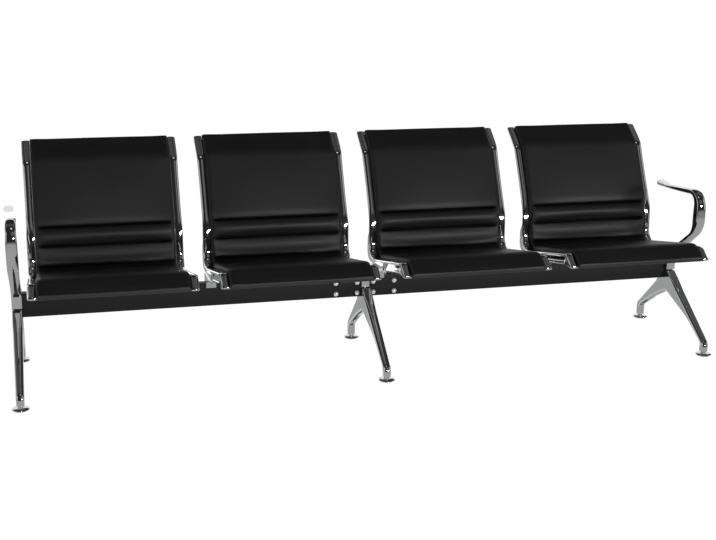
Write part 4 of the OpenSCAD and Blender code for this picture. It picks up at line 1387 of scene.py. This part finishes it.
def card(tree, azimuth, elevation, limits):
    """Brightness of a soft-edged card between azimuth and elevation limits."""
    low_az, high_az, low_el, high_el, soft, value = limits
    for source, low, high in ((azimuth, low_az, high_az), (elevation, low_el, high_el)):
        for edge, before, after in ((low, 0.0, 1.0), (high, 1.0, 0.0)):
            side = spread(tree, source, before, after, edge - soft, edge + soft, "SMOOTHSTEP")
            value = maths(tree, "MULTIPLY", value, side)
    return value


def add_surroundings():
    """World that is white to the camera, and to all other rays dark with soft-edged cards and lamps."""
    world = bpy.data.worlds.new("studio")
    world.use_nodes = True
    bpy.context.scene.world = world
    tree = world.node_tree
    tree.nodes.clear()
    place = add(tree, "ShaderNodeTexCoord").outputs["Generated"]
    axes = add(tree, "ShaderNodeSeparateXYZ", {"Vector": place}).outputs
    turn = maths(tree, "ARCTAN2", axes["X"], maths(tree, "MULTIPLY", axes["Y"], -1.0))
    azimuth = maths(tree, "DEGREES", turn)
    elevation = maths(tree, "DEGREES", maths(tree, "ARCSINE", axes["Z"]))
    around = maths(tree, "ABSOLUTE", azimuth)
    level = 0.0
    for turned, cards in ((azimuth, CARDS_AHEAD), (around, CARDS_BEHIND)):
        for limits in cards.values():
            level = maths(tree, "MAXIMUM", level, card(tree, turned, elevation, limits))
    strength = mix_seen(tree, maths(tree, "ADD", level, AMBIENT))
    back = add(tree, "ShaderNodeBackground", {"Color": (1, 1, 1, 1), "Strength": strength})
    add(tree, "ShaderNodeOutputWorld", {"Surface": back.outputs["Background"]})
    bpy.context.scene.view_settings.view_transform = "Standard"


def add_lamp():
    """A wide, low light in front that faces the seats and that neither camera nor reflections see."""
    data = bpy.data.lights.new("low_key", "AREA")
    data.shape = "RECTANGLE"
    data.size, data.size_y = 5.0, 0.6
    data.energy = 14
    light = link("low_key", data)
    origin, aim = np.array([-0.6, -3.2, 1.0]), np.array([0, 0, 0.5])
    away = unit(origin - aim)
    side = unit(np.cross([0, 0, 1], away))
    light.matrix_world = placed(origin.tolist(), side, np.cross(away, side), away)
    light.visible_camera = False
    light.visible_glossy = False


class BenchPanel(bpy.types.Panel):
    """Lists the bench's sizes, colours and pieces in the sidebar"""

    bl_idname = "VIEW3D_PT_bench"
    bl_label = "Beam seating"
    bl_space_type = "VIEW_3D"
    bl_region_type = "UI"
    bl_category = "Beam seating"

    def draw(self, context):
        for name in GROUPS:
            group = getattr(context.scene, name)
            lines = self.layout.box()
            for size in group.__annotations__:
                lines.prop(group, size)
        for operator in OPERATORS:
            self.layout.operator(operator.bl_idname)


GROUPS = {"bench_outline": BenchSeatOutline, "bench_pad": BenchPad, "bench_colours": BenchColours}
OPERATORS = (
    BenchStudio, BenchBeam, BenchRails, BenchPads, BenchShells, BenchLegs, BenchArmrests, BenchFeet,
    BenchFasteners,
)


def register():
    for cls in (*GROUPS.values(), *OPERATORS, BenchPanel):
        bpy.utils.register_class(cls)
    for name, cls in GROUPS.items():
        setattr(bpy.types.Scene, name, bpy.props.PointerProperty(type=cls))


def unregister():
    for name in GROUPS:
        delattr(bpy.types.Scene, name)
    for cls in reversed((*GROUPS.values(), *OPERATORS, BenchPanel)):
        bpy.utils.unregister_class(cls)


def main():
    register()
    for operator in OPERATORS:
        family, name = operator.bl_idname.split(".")
        getattr(getattr(bpy.ops, family), name)()


if __name__ == "__main__":
    main()
